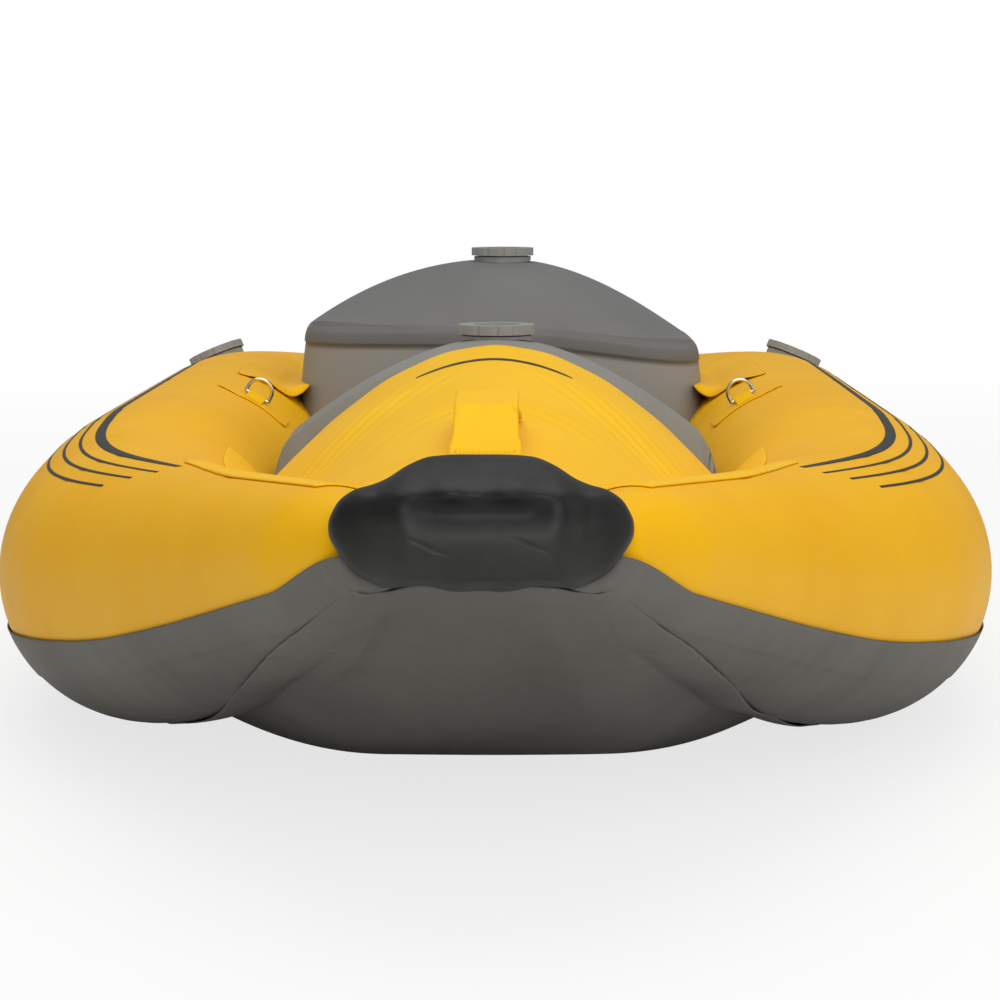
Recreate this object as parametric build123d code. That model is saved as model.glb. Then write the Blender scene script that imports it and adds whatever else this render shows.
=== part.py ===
from build123d import *
import os
from math import acos, cos, degrees, radians, sin, sqrt, tan

os.makedirs("parts", exist_ok=True)

# Solo whitewater inflatable kayak. Millimetres. The bow points along -Y, +Z is up, and the ground is Z = 0.
# Stations are measured along the hull from the bow tip, so station s lies at Y = s - LENGTH / 2.

# Overall sizes of the hull
LENGTH = 2900
BEAM = 1041
TUBE_DIAMETER = 305
TUBE_CLEARANCE_BELOW = 6  # the tubes ride this far above the flat of the belly

# How each side tube narrows, turns in and rises towards its two tips
TIP_RADIUS = 36
TIP_OFFSET = 60
TIP_SETBACK = 12
BOW_TURN_IN = 767
BOW_TAPER = 785
BOW_RISE = 262
BOW_RISE_RUN = 690
STERN_TURN_IN = 850
STERN_TAPER = 850
STERN_RISE = 120
STERN_RISE_RUN = 800
TURN_SOFTNESS = 160
TAPER_SOFTNESS = 300
RISE_SOFTNESS = 266

# The belly: the coated sheet that closes the hull between the tubes
BELLY_BOW_RISE = 295
BELLY_BOW_RUN = 522
BELLY_STERN_RISE = 160
BELLY_STERN_RUN = 600
BELLY_FLAT_WIDTH = 240
BELLY_FLANGE_ANGLE = -180
BELLY_VALLEY_ANGLE = -208
BELLY_FULL_STATION = 1100

# Sheet goods and the room between one skin and the next
SKIN = 1.2
GLUE_GAP = 0.5
SOFT_GAP = 0.5
LOOSE_GAP = 0.9
HULL_STATIONS = 40

# Bottom panels: the grey wear layer wrapped round the underside of each tube
PANEL_TOP_ANGLE = -114
PANEL_INNER_ANGLE = -240
PANEL_SETBACK = 45

# Moulded rubber bumpers over the tube tips
BUMPER_LENGTH = 150
BUMPER_HALF_WIDTH = 110
BUMPER_HEIGHT = 96
BUMPER_CHIN = 6

# Decks, given by the height of the crown at each end
BOW_DECK_END = 912
BOW_DECK_FRONT_CROWN = 336
BOW_DECK_REAR_CROWN = 382
BOW_DECK_EDGE_ANGLE_FRONT = 35
BOW_DECK_EDGE_ANGLE_REAR = 60
DECK_FLANGE_ANGLE = -5
STERN_DECK_LENGTH = 250
STERN_DECK_CROWN_ABOVE_TUBE = 6
STERN_DECK_EDGE_ANGLE = 35

# Inflated floor
FLOOR_START = 600
FLOOR_END_SETBACK = 620
FLOOR_TOP = 105
FLOOR_EDGE_GAP = 1
FLOOR_EDGE_RADIUS = 40

# Deck arch: the inflated bolster that carries the rear edge of the bow deck
ARCH_STATION = 958
ARCH_LENGTH = 180
ARCH_CROWN = 388
ARCH_UNDERSIDE = 255
ARCH_SPRING_HEIGHT = 250
ARCH_SPRING_WIDTH = 476
ARCH_UNDERSIDE_DROP = 80
ARCH_CURVE = 1.9
ARCH_END_FATNESS = 0.25

# Backrest: the inflated pillow behind the paddler
BACKREST_STATION = 1660
BACKREST_LENGTH = 330
BACKREST_WIDTH = 530
BACKREST_SEAM_HEIGHT = 342
BACKREST_CROWN = 447
BACKREST_END_WIDTH = 0.88
FLAP_ANGLE = 29
FLAP_SPAN = 74
FLAP_LENGTH = 350

# Grab straps
STRAP_WIDTH = 52
STRAP_THICKNESS = 3
STRAP_SPAN = 110
STRAP_RISE = 38
STRAP_LEAN = 0.25
STRAP_FOOT = 30
STRAP_BEND = 6
BOW_STRAP_STATION = 345
STERN_STRAP_SETBACK = 300

# D-rings
RING_WIRE = 4.5
RING_WIDTH = 30
RING_LEG = 6
RING_CLEARANCE = 0.08
RING_LOOP_LENGTH = 22
RING_PATCH_WIDTH = 74
RING_PATCH_SPAN = 96
FRONT_RING_STATION = 1300
REAR_RING_STATION = 2250
RING_ANGLE = 29.5

# Valves
VALVE_FLANGE_RADIUS = 37.5
VALVE_FLANGE_HEIGHT = 3.5
VALVE_BORE = 38
VALVE_MOUTH = 40
VALVE_MOUTH_DEPTH = 7.5
VALVE_BARREL = 48
VALVE_RIM = 10
VALVE_BEDDING = 14
VALVE_DEPTH = 24
VALVE_POCKET_DEPTH = 46
VALVE_POCKET_RADIUS = 35
SPIDER_TOP = -10
SPIDER_THICKNESS = 4
POPPET_STEM = 5
POPPET_CLEARANCE = 0.08
BUTTON_RADIUS = 7
BUTTON_TOP = 2
BUTTON_THICKNESS = 3
DISC_RADIUS = 21.5
DISC_THICKNESS = 3
SPRING_RADIUS = 4.4
SPRING_WIRE = 0.8
SPRING_TURNS = 3
CAP_RADIUS = 41
CAP_TOP = 15
CAP_SKIRT_BOTTOM = 5
CAP_SCALLOPS = 12
CAP_SCALLOP_RADIUS = 6
CAP_WALL = 3
CAP_RECESS_RADIUS = 26
CAP_RECESS_DEPTH = 2
CAP_CLEARANCE = 0.3
SEAL_THICKNESS = 1
SEAL_WIDTH = 3
NUT_RADIUS = 32
NUT_THICKNESS = 5
TUBE_VALVE_STATION = 2000
TUBE_VALVE_ANGLE = -23
ARCH_VALVE_SETBACK = 22
FLOOR_VALVE_STATION = 2080

TUBE_RADIUS = TUBE_DIAMETER / 2
TUBE_OFFSET = (BEAM - TUBE_DIAMETER) / 2
PANEL_OUTSIDE = GLUE_GAP + SKIN
BELLY_INSIDE = PANEL_OUTSIDE + LOOSE_GAP
CLEAR_OF_SKINS = PANEL_OUTSIDE + SOFT_GAP
COVER_START = BUMPER_LENGTH + SOFT_GAP


def eased(distance, softness):
    """The distance left to the end of a run, eased to nothing over the softness."""
    if distance <= -softness:
        return 0
    if distance >= softness:
        return distance
    return (distance + softness) ** 2 / (4 * softness)


def ramp(distance, tip, middle, run, softness):
    """A size that goes from its tip value to its middle value over a run, then holds."""
    return middle - (middle - tip) * eased(run - distance, softness) / eased(run, softness)


def tube_offset(s):
    bow = ramp(s, TIP_OFFSET, TUBE_OFFSET, BOW_TURN_IN, TURN_SOFTNESS)
    stern = ramp(LENGTH - s, TIP_OFFSET, TUBE_OFFSET, STERN_TURN_IN, TURN_SOFTNESS)
    return bow + stern - TUBE_OFFSET


def tube_radius(s):
    bow = ramp(s, TIP_RADIUS, TUBE_RADIUS, BOW_TAPER, TAPER_SOFTNESS)
    stern = ramp(LENGTH - s, TIP_RADIUS, TUBE_RADIUS, STERN_TAPER, TAPER_SOFTNESS)
    return bow + stern - TUBE_RADIUS


def tube_height(s):
    bow = ramp(s, BOW_RISE, 0, BOW_RISE_RUN, RISE_SOFTNESS)
    stern = ramp(LENGTH - s, STERN_RISE, 0, STERN_RISE_RUN, RISE_SOFTNESS)
    return TUBE_CLEARANCE_BELOW + bow + stern + tube_radius(s)


def belly_height(s):
    bow = ramp(s, BELLY_BOW_RISE, 0, BELLY_BOW_RUN, RISE_SOFTNESS)
    stern = ramp(LENGTH - s, BELLY_STERN_RISE, 0, BELLY_STERN_RUN, RISE_SOFTNESS)
    return bow + stern


def slope(size, s):
    return (size(s + 1) - size(s - 1)) / 2


def tube_axes(s, grow):
    """Half width and half height of a tube's cut across the hull, with the skin grown outwards."""
    width = (tube_radius(s) + grow) * sqrt(1 + slope(tube_offset, s) ** 2)
    height = (tube_radius(s) + grow) * sqrt(1 + slope(tube_height, s) ** 2)
    return width, height


def across(s):
    """The plane across the hull at a station: its x is X and its y is Z."""
    return Plane(origin=(0, s - LENGTH / 2, 0), x_dir=(1, 0, 0), z_dir=(0, -1, 0))


def tube_point(s, angle, grow=0):
    """A point on the port tube, in X and Z. The angle goes from the top, positive inboard."""
    width, height = tube_axes(s, grow)
    turn = radians(angle)
    return tube_offset(s) - width * sin(turn), tube_height(s) + height * cos(turn)


def spread(first, last, pieces):
    return [first + (last - first) * i / pieces for i in range(pieces + 1)]


def hull_stations(first, last):
    """The stations that every long skin is drawn at, so that the skins stay parallel."""
    inner = [s for s in spread(0, LENGTH, HULL_STATIONS) if first + 15 < s < last - 15]
    return [first] + inner + [last]


def tube_solid(grow, reach=0):
    """One side tube, on the port side, with its skin grown outwards and its ends moved out."""
    faces = []
    for s in hull_stations(TIP_SETBACK - reach, LENGTH - TIP_SETBACK + reach):
        width, height = tube_axes(s, grow)
        faces.append(across(s) * Pos(tube_offset(s), tube_height(s)) * Ellipse(width, height))
    return loft(faces)


def mirrored(shape):
    return mirror(shape, about=Plane.YZ)


def surface_frame(s, angle, grow=0):
    """A frame on the port tube: z leaves the skin, x runs round the tube outboard, y runs along it."""
    x, z = tube_point(s, angle, grow)
    ahead = tube_point(s + 1, angle, grow)
    behind = tube_point(s - 1, angle, grow)
    outboard = tube_point(s, angle - 1, grow)
    inboard = tube_point(s, angle + 1, grow)
    along = Vector(ahead[0] - behind[0], 2, ahead[1] - behind[1]).normalized()
    around = Vector(outboard[0] - inboard[0], 0, outboard[1] - inboard[1]).normalized()
    return Plane(origin=(x, s - LENGTH / 2, z), x_dir=around, z_dir=around.cross(along))


def write(name, shape):
    export_step(shape, "parts/" + name + ".step")


def write_pair(name, shape):
    """A piece modelled on the port side, and its mirror image on the starboard side."""
    write("port_" + name, shape)
    write("starboard_" + name, mirrored(shape))


def frame_at(s, z):
    """An upright frame in the middle of the hull."""
    return Plane(origin=(0, s - LENGTH / 2, z))


def disc(radius, bottom, top):
    """A round slab on the frame's z axis."""
    return Pos(0, 0, bottom) * Cylinder(radius, top - bottom, align=(Align.CENTER, Align.CENTER, Align.MIN))


def tube_arc(s, grow, first, last):
    """An arc round the port tube in the plane across the hull. Angles go from the top, positive inboard."""
    width, height = tube_axes(s, grow)
    arc = EllipticalCenterArc((0, 0), width, height, start_angle=90 + first, arc_size=last - first)
    return Pos(tube_offset(s), tube_height(s)) * arc


def flipped(edge):
    return mirror(edge, about=Plane.YZ).edge()


def strip(s, outer, inner, outer_flat=(), inner_flat=()):
    """A thin sheet's cut across the hull. Each side is given as port edges, from the hem to the middle."""
    hem = Line(outer[0] @ 0, inner[0] @ 0).edge()
    round_trip = list(outer) + list(outer_flat) + [flipped(edge) for edge in reversed(outer)]
    round_trip += [flipped(hem)] + [flipped(edge) for edge in inner] + list(inner_flat)
    round_trip += list(reversed(inner)) + [hem]
    return Wire([(across(s) * edge).edge() for edge in round_trip])


# Side tubes: two air chambers of coated fabric, each with a pocket where its valve hangs
tube = tube_solid(0)
skins_cutter = tube_solid(CLEAR_OF_SKINS, TIP_SETBACK / 4)
skins_cutters = [skins_cutter, mirrored(skins_cutter)]
tube_valve_frame = surface_frame(TUBE_VALVE_STATION, TUBE_VALVE_ANGLE)
valve_pocket = disc(VALVE_POCKET_RADIUS, -VALVE_POCKET_DEPTH, VALVE_POCKET_DEPTH)
write_pair("tube", tube - tube_valve_frame * valve_pocket)


# Bottom panels: a second layer of coated fabric, glued round the underside of each tube
def panel_section(s):
    inner = tube_arc(s, GLUE_GAP, PANEL_INNER_ANGLE, PANEL_TOP_ANGLE)
    outer = tube_arc(s, PANEL_OUTSIDE, PANEL_INNER_ANGLE, PANEL_TOP_ANGLE)
    ends = [Line(inner @ 1, outer @ 1), Line(outer @ 0, inner @ 0)]
    return Wire([(across(s) * edge).edge() for edge in (inner, ends[0], outer, ends[1])])


panel_stations = hull_stations(PANEL_SETBACK, LENGTH - PANEL_SETBACK)
write_pair("bottom_panel", Solid.make_loft([panel_section(s) for s in panel_stations]))


# Belly: a sheet glued under both tubes by its flanges, flat amidships where the hull stands
def belly_curve(s, layer, lift):
    """The belly's line on the port side, from the valley beside the tube to the edge of the flat."""
    x, z = tube_point(s, BELLY_VALLEY_ANGLE, layer)
    middle_x = tube_point(LENGTH / 2, BELLY_VALLEY_ANGLE, layer)[0]
    flat = BELLY_FLAT_WIDTH / 2 * x / middle_x
    low = belly_height(s) + lift
    fullness = 1.6 + 1.4 * min(1, s / BELLY_FULL_STATION, (LENGTH - s) / BELLY_FULL_STATION)
    points = [(x, z)]
    for share in (0.25, 0.5, 0.75):
        points.append((x + (flat - x) * share, low + (z - low) * (1 - share) ** fullness))
    points.append((flat, low))
    return Spline(*points), Line((flat, low), (-flat, low))


def belly_section(s):
    outer_curve, outer_flat = belly_curve(s, BELLY_INSIDE + SKIN, 0)
    inner_curve, inner_flat = belly_curve(s, BELLY_INSIDE, SKIN)
    outer_flange = tube_arc(s, BELLY_INSIDE + SKIN, BELLY_FLANGE_ANGLE, BELLY_VALLEY_ANGLE)
    inner_flange = tube_arc(s, BELLY_INSIDE, BELLY_FLANGE_ANGLE, BELLY_VALLEY_ANGLE)
    return strip(s, [outer_flange, outer_curve], [inner_flange, inner_curve], [outer_flat], [inner_flat])


FLAT_START = max(BOW_TURN_IN + TURN_SOFTNESS, BOW_TAPER + TAPER_SOFTNESS, BOW_RISE_RUN + RISE_SOFTNESS)
FLAT_END = LENGTH - max(STERN_TURN_IN + TURN_SOFTNESS, STERN_TAPER + TAPER_SOFTNESS)
FLAT_END = min(FLAT_END, LENGTH - STERN_RISE_RUN - RISE_SOFTNESS)
belly_bow = Solid.make_loft([belly_section(s) for s in hull_stations(COVER_START, FLAT_START)])
belly_stern = Solid.make_loft([belly_section(s) for s in hull_stations(FLAT_END, LENGTH - COVER_START)])
belly_middle = Solid.make_loft([belly_section(FLAT_START), belly_section(FLAT_END)], ruled=True)
belly = belly_middle + belly_bow + belly_stern
write("belly", belly)


# Decks: sheets glued along the tubes' tops by their flanges, arched over the bow and the stern
def fold_angle(s, crown, edge_angle, layer):
    """Where a face of the sheet leaves the tube: its upper face turns up sooner than its lower one."""
    x, z = tube_point(s, edge_angle, GLUE_GAP)
    rise = ARCH_CURVE * (crown - z) / x
    turn = radians(edge_angle)
    opening = acos((rise * sin(turn) - cos(turn)) / sqrt(1 + rise ** 2))
    return edge_angle - degrees((layer - GLUE_GAP) / tan(opening / 2) / tube_radius(s))


def deck_edges(s, crown, edge_angle, layer):
    """The flange and the arch of a deck's port half, at one face of the sheet."""
    height = crown + layer - GLUE_GAP
    edge_angle = fold_angle(s, crown, edge_angle, layer)
    x, z = tube_point(s, edge_angle, layer)
    points = [(x, z)]
    for share in (0.3, 0.6):
        points.append((x * (1 - share), height - (height - z) * (1 - share) ** ARCH_CURVE))
    points.append((0, height))
    arch = Spline(*points, tangents=[(-1, ARCH_CURVE * (height - z) / x), (-1, 0)])
    return [tube_arc(s, layer, DECK_FLANGE_ANGLE, edge_angle), arch]


def deck_section(s, crown, edge_angle):
    outer = deck_edges(s, crown, edge_angle, PANEL_OUTSIDE)
    return strip(s, outer, deck_edges(s, crown, edge_angle, GLUE_GAP))


def bow_deck_shape(s):
    """The crown and the edge angle of the bow deck at a station."""
    share = (s - COVER_START) / (BOW_DECK_END - COVER_START)
    crown = BOW_DECK_FRONT_CROWN + (BOW_DECK_REAR_CROWN - BOW_DECK_FRONT_CROWN) * share
    angle = BOW_DECK_EDGE_ANGLE_FRONT + (BOW_DECK_EDGE_ANGLE_REAR - BOW_DECK_EDGE_ANGLE_FRONT) * share
    return crown, angle


def stern_deck_crown(s):
    return tube_point(s, 0)[1] + STERN_DECK_CROWN_ABOVE_TUBE


stern_end = LENGTH - COVER_START
bow_stations = hull_stations(COVER_START, BOW_DECK_END)
bow_deck = Solid.make_loft([deck_section(s, *bow_deck_shape(s)) for s in bow_stations])
stern_stations = hull_stations(stern_end - STERN_DECK_LENGTH, stern_end)
stern_sections = [deck_section(s, stern_deck_crown(s), STERN_DECK_EDGE_ANGLE) for s in stern_stations]
stern_deck = Solid.make_loft(stern_sections)
write("bow_deck", bow_deck)
write("stern_deck", stern_deck)


# Bumpers: moulded rubber caps over the tube tips, with a hump in the middle and a lobe on each tip
BUMPER_OUTLINE = [(0, 1), (0.3, 0.97), (0.55, 0.87), (0.8, 0.86), (0.96, 0.7)]
BUMPER_OUTLINE += [(1, 0.45), (0.93, 0.2), (0.7, 0.03), (0.35, 0)]
BUMPER_FULLNESS = [(0, 0.8), (0.05, 0.93), (0.2, 1), (0.6, 0.99), (0.9, 0.9), (1, 0.8)]


def bumper_wire(s, middle, scale):
    width, height = BUMPER_HALF_WIDTH * scale, BUMPER_HEIGHT * scale
    right = [(x * width, (z - 0.5) * height) for x, z in BUMPER_OUTLINE]
    foot = [(0, -0.5 * height)]
    left = [(-x, z) for x, z in reversed(right[1:])]
    outline = Spline(*(right + foot + left), periodic=True)
    return Wire([across(s) * (Pos(0, middle) * outline)])


def bumper(tip, inwards):
    """A bumper on the tip at the given station, reaching inwards along the hull."""
    chin = tube_height(tip + inwards * TIP_SETBACK) - TIP_RADIUS - BUMPER_CHIN
    middle = chin + BUMPER_HEIGHT / 2
    reach = inwards * BUMPER_LENGTH
    wires = [bumper_wire(tip + reach * share, middle, scale) for share, scale in BUMPER_FULLNESS]
    solid = Solid.make_loft(wires)
    for cutter in skins_cutters:
        solid = solid - cutter
    return solid


write("bow_bumper", bumper(0, 1))
write("stern_bumper", bumper(LENGTH, -1))


# Floor: a flat inflated panel between the tubes, lying on the belly
def floor_section(s):
    """The floor's cut across the hull, as wide as the tubes leave room for."""
    width, height = tube_axes(s, CLEAR_OF_SKINS)
    rise = tube_height(s) - FLOOR_TOP
    room = tube_offset(s) - width * sqrt(max(0, 1 - (rise / height) ** 2))
    half_width = room - FLOOR_EDGE_GAP
    belly_edge, belly_flat = belly_curve(s, BELLY_INSIDE, SKIN)
    lowest = (belly_flat @ 0).Y
    edge_x = half_width - FLOOR_EDGE_RADIUS
    if edge_x > (belly_flat @ 0).X:
        crossing = belly_edge.intersect(Line((edge_x, -BEAM), (edge_x, BEAM)))
        lowest = max(lowest, crossing.vertices()[0].Y)
    bottom = lowest + LOOSE_GAP
    thickness = FLOOR_TOP - bottom
    outline = RectangleRounded(2 * half_width, thickness, min(FLOOR_EDGE_RADIUS, 0.48 * thickness))
    return (across(s) * Pos(0, bottom + thickness / 2) * outline).face().outer_wire()


floor_valve_frame = frame_at(FLOOR_VALVE_STATION, FLOOR_TOP)
floor = Solid.make_loft([floor_section(s) for s in hull_stations(FLOOR_START, LENGTH - FLOOR_END_SETBACK)])
write("floor", floor - floor_valve_frame * valve_pocket)


# Deck arch: an inflated bolster across the tubes, pressed up against the rear edge of the bow deck
def arch_curve(crown, foot):
    """An arched line from foot to foot over the middle, in X and Z."""
    half = ARCH_SPRING_WIDTH / 2
    points = [(half * x, crown - (crown - foot) * abs(x) ** ARCH_CURVE) for x in spread(1, -1, 8)]
    return Spline(*points)


def arch_wire(offset):
    fatness = sqrt(max(0, 1 - (2 * offset / ARCH_LENGTH) ** 2))
    fatness = max(fatness, ARCH_END_FATNESS)
    spring_bottom = ARCH_UNDERSIDE - ARCH_UNDERSIDE_DROP
    middle = (ARCH_CROWN + ARCH_UNDERSIDE) / 2
    middle_foot = (ARCH_SPRING_HEIGHT + spring_bottom) / 2
    half = (ARCH_CROWN - ARCH_UNDERSIDE) / 2 * fatness
    half_foot = (ARCH_SPRING_HEIGHT - spring_bottom) / 2 * fatness
    top = arch_curve(middle + half, middle_foot + half_foot)
    bottom = arch_curve(middle - half, middle_foot - half_foot)
    ends = [Line(top @ 1, bottom @ 1), Line(bottom @ 0, top @ 0)]
    return Wire([(across(ARCH_STATION + offset) * edge).edge() for edge in (top, ends[0], bottom, ends[1])])


def under_deck_wire(s):
    """The room that the bow deck takes from the arch below it, up to well above the deck."""
    crown, angle = bow_deck_shape(s)
    arch = (Pos(0, -LOOSE_GAP) * deck_edges(s, crown, angle, GLUE_GAP)[1]).edge()
    x, z = tuple(arch @ 0)[:2]
    wall = Polyline((x, z), (x + ARCH_LENGTH, z), (x + ARCH_LENGTH, 2 * crown), (0, 2 * crown)).edges()
    ring = [flipped(arch), arch] + list(wall) + [flipped(edge) for edge in reversed(wall)]
    return Wire([(across(s) * edge).edge() for edge in ring])


arch_offsets = [ARCH_LENGTH / 2 * share for share in (-1, -0.95, -0.8, -0.5, 0, 0.5, 0.8, 0.95, 1)]
room_stations = spread(BOW_DECK_END - ARCH_LENGTH, BOW_DECK_END + SOFT_GAP, 6)
deck_room = Solid.make_loft([under_deck_wire(s) for s in room_stations])
arch_whole = Solid.make_loft([arch_wire(offset) for offset in arch_offsets]) - deck_room
for cutter in skins_cutters:
    arch_whole = arch_whole - cutter
arch_valve_station = ARCH_STATION + ARCH_VALVE_SETBACK
arch_valve_top = (ARCH_CROWN + ARCH_UNDERSIDE) / 2
arch_valve_top += (ARCH_CROWN - ARCH_UNDERSIDE) / 2 * sqrt(1 - (2 * ARCH_VALVE_SETBACK / ARCH_LENGTH) ** 2)
arch_valve_frame = frame_at(arch_valve_station, arch_valve_top)
write("deck_arch", arch_whole - arch_valve_frame * valve_pocket)


# Backrest: an inflated pillow wedged between the tubes, with a domed top above its seam
def backrest_wire(share):
    pinch = (1 - abs(share) ** 3) ** (1 / 3)
    half = BACKREST_WIDTH / 2 * (BACKREST_END_WIDTH + (1 - BACKREST_END_WIDTH) * pinch)
    crown = BACKREST_SEAM_HEIGHT + SKIN + (BACKREST_CROWN - BACKREST_SEAM_HEIGHT - SKIN) * (1 - share ** 2)
    bottom = FLOOR_TOP + SOFT_GAP
    ring = [
        Line((-half, bottom), (half, bottom)),
        Line((half, bottom), (half, BACKREST_SEAM_HEIGHT)),
        ThreePointArc((half, BACKREST_SEAM_HEIGHT), (0, crown), (-half, BACKREST_SEAM_HEIGHT)),
        Line((-half, BACKREST_SEAM_HEIGHT), (-half, bottom)),
    ]
    s = BACKREST_STATION + share * BACKREST_LENGTH / 2
    return Wire([(across(s) * edge).edge() for edge in ring])


backrest_shares = (-1, -0.93, -0.7, -0.35, 0, 0.35, 0.7, 0.93, 1)
backrest = Solid.make_loft([backrest_wire(share) for share in backrest_shares])
for cutter in skins_cutters:
    backrest = backrest - cutter
backrest_valve_frame = frame_at(BACKREST_STATION, BACKREST_CROWN)
write("backrest", backrest - backrest_valve_frame * valve_pocket)


# Backrest flaps: strips of coated fabric glued on the tubes beside the backrest
skin_layer = tube_solid(PANEL_OUTSIDE) - tube_solid(GLUE_GAP, TIP_SETBACK / 4)
flap_frame = surface_frame(BACKREST_STATION, FLAP_ANGLE)
write_pair("backrest_flap", skin_layer & (flap_frame * Box(FLAP_SPAN, FLAP_LENGTH, TUBE_RADIUS / 2)))


# Grab straps: bands of webbing-backed fabric, sewn to the decks at both feet and standing clear between
def grab_strap(station, crown_at):
    """A strap on a deck's crown. Its feet follow the deck's slope along the hull."""
    rise = crown_at(station + STRAP_SPAN / 2) - crown_at(station - STRAP_SPAN / 2)
    base = crown_at(station) + SKIN + SOFT_GAP + STRAP_THICKNESS / 2
    frame = Plane(origin=(0, station - LENGTH / 2, base), x_dir=(1, 0, 0), z_dir=(0, -rise / STRAP_SPAN, 1))
    half = STRAP_SPAN / 2
    lean = STRAP_RISE * STRAP_LEAN
    route = FilletPolyline(
        (-half - STRAP_FOOT, 0),
        (-half, 0),
        (-half + lean, STRAP_RISE),
        (half - lean, STRAP_RISE),
        (half, 0),
        (half + STRAP_FOOT, 0),
        radius=STRAP_BEND,
    )
    return frame * extrude(Plane.YZ * trace(route, STRAP_THICKNESS), STRAP_WIDTH / 2, both=True)


write("bow_strap", grab_strap(BOW_STRAP_STATION, lambda s: bow_deck_shape(s)[0]))
write("stern_strap", grab_strap(LENGTH - STERN_STRAP_SETBACK, stern_deck_crown))


# D-rings: a bent wire ring in a webbing loop, on a patch glued to the tube
def ring_frame(station):
    return surface_frame(station, RING_ANGLE, PANEL_OUTSIDE)


RING_AXIS_HEIGHT = RING_WIRE / 2 + RING_CLEARANCE + SKIN


def across_bar(radius, length):
    return Pos(0, 0, RING_AXIS_HEIGHT) * Rot(0, 90, 0) * Cylinder(radius, length)


def ring_patch(station):
    frame = ring_frame(station)
    half, tip = RING_PATCH_WIDTH / 2, RING_PATCH_SPAN / 2
    outline = Polyline((-tip, -half), (tip / 2, -half), (tip, 0), (tip / 2, half), (-tip, half), close=True)
    cutter = Pos(0, 0, -TUBE_RADIUS / 4) * extrude(make_face(outline), TUBE_RADIUS / 2)
    patch = skin_layer & (frame * cutter)
    foot = Box(RING_LOOP_LENGTH, RING_WIRE, RING_AXIS_HEIGHT + 2 * SKIN / 3)
    foot = Pos(0, 0, RING_AXIS_HEIGHT / 2 - SKIN / 3) * foot
    loop = across_bar(RING_AXIS_HEIGHT, RING_LOOP_LENGTH) + foot
    loop = loop - across_bar(RING_WIRE / 2 + RING_CLEARANCE, 2 * RING_LOOP_LENGTH)
    return patch + frame * loop


def d_ring(station):
    """The ring at rest: it stands up from the tube across the hull, with its bar in the loop."""
    wire, reach = RING_WIRE / 2, RING_WIDTH / 2
    upper_half = Box(4 * reach, 4 * wire, 4 * reach, align=(Align.CENTER, Align.CENTER, Align.MIN))
    bow = Pos(0, 0, RING_LEG) * (Rot(90, 0, 0) * Torus(reach, wire) & upper_half)
    ring = bow + Rot(0, 90, 0) * Cylinder(wire, RING_WIDTH)
    for side in (-reach, reach):
        ring = ring + Pos(side, 0, 0) * disc(wire, 0, RING_LEG) + Pos(side, 0, 0) * Sphere(wire)
    return ring_frame(station) * Pos(0, 0, RING_AXIS_HEIGHT) * ring


for end, station in (("front", FRONT_RING_STATION), ("rear", REAR_RING_STATION)):
    write_pair(end + "_ring_patch", ring_patch(station))
    write_pair(end + "_d_ring", d_ring(station))


# Valves: a screwed body with a sprung poppet below a screw cap, one in each air chamber
def valve_body(frame, chamber):
    """Flange, barrel and spider. The flange is bedded on its chamber's curved skin."""
    bore = disc(VALVE_BORE / 2, -VALVE_POCKET_DEPTH, VALVE_POCKET_DEPTH)
    bore = bore + disc(VALVE_MOUTH / 2, VALVE_RIM - VALVE_MOUTH_DEPTH, VALVE_POCKET_DEPTH)
    barrel = disc(VALVE_BARREL / 2, -VALVE_DEPTH, VALVE_RIM) - bore
    hub = disc(BUTTON_RADIUS, SPIDER_TOP - SPIDER_THICKNESS, SPIDER_TOP)
    spoke = Box(VALVE_BORE / 2 + SPIDER_THICKNESS / 2, SPIDER_THICKNESS, SPIDER_THICKNESS)
    spoke = Pos(VALVE_BORE / 4, 0, SPIDER_TOP - SPIDER_THICKNESS / 2) * spoke
    spokes = [Rot(0, 0, angle) * spoke for angle in (0, 120, 240)]
    flange = disc(VALVE_FLANGE_RADIUS, -VALVE_BEDDING, VALVE_FLANGE_HEIGHT) - bore
    body = frame * flange - chamber
    for piece in [barrel, hub] + spokes:
        body = body + frame * piece
    return body - frame * disc(POPPET_STEM / 2 + POPPET_CLEARANCE, -VALVE_POCKET_DEPTH, SPIDER_TOP)


def valve_poppet():
    bottom = -VALVE_DEPTH - DISC_THICKNESS
    stem = disc(POPPET_STEM / 2, bottom, BUTTON_TOP)
    button = disc(BUTTON_RADIUS, BUTTON_TOP - BUTTON_THICKNESS, BUTTON_TOP)
    return stem + button + disc(DISC_RADIUS, bottom, -VALVE_DEPTH)


def valve_spring():
    height = BUTTON_TOP - BUTTON_THICKNESS - SPIDER_TOP - 2 * SPRING_WIRE
    coil = Helix(pitch=height / SPRING_TURNS, height=height, radius=SPRING_RADIUS)
    section = Plane(origin=coil @ 0, z_dir=coil % 0) * Circle(SPRING_WIRE / 2)
    return Pos(0, 0, SPIDER_TOP + SPRING_WIRE) * sweep(section, path=coil)


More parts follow.
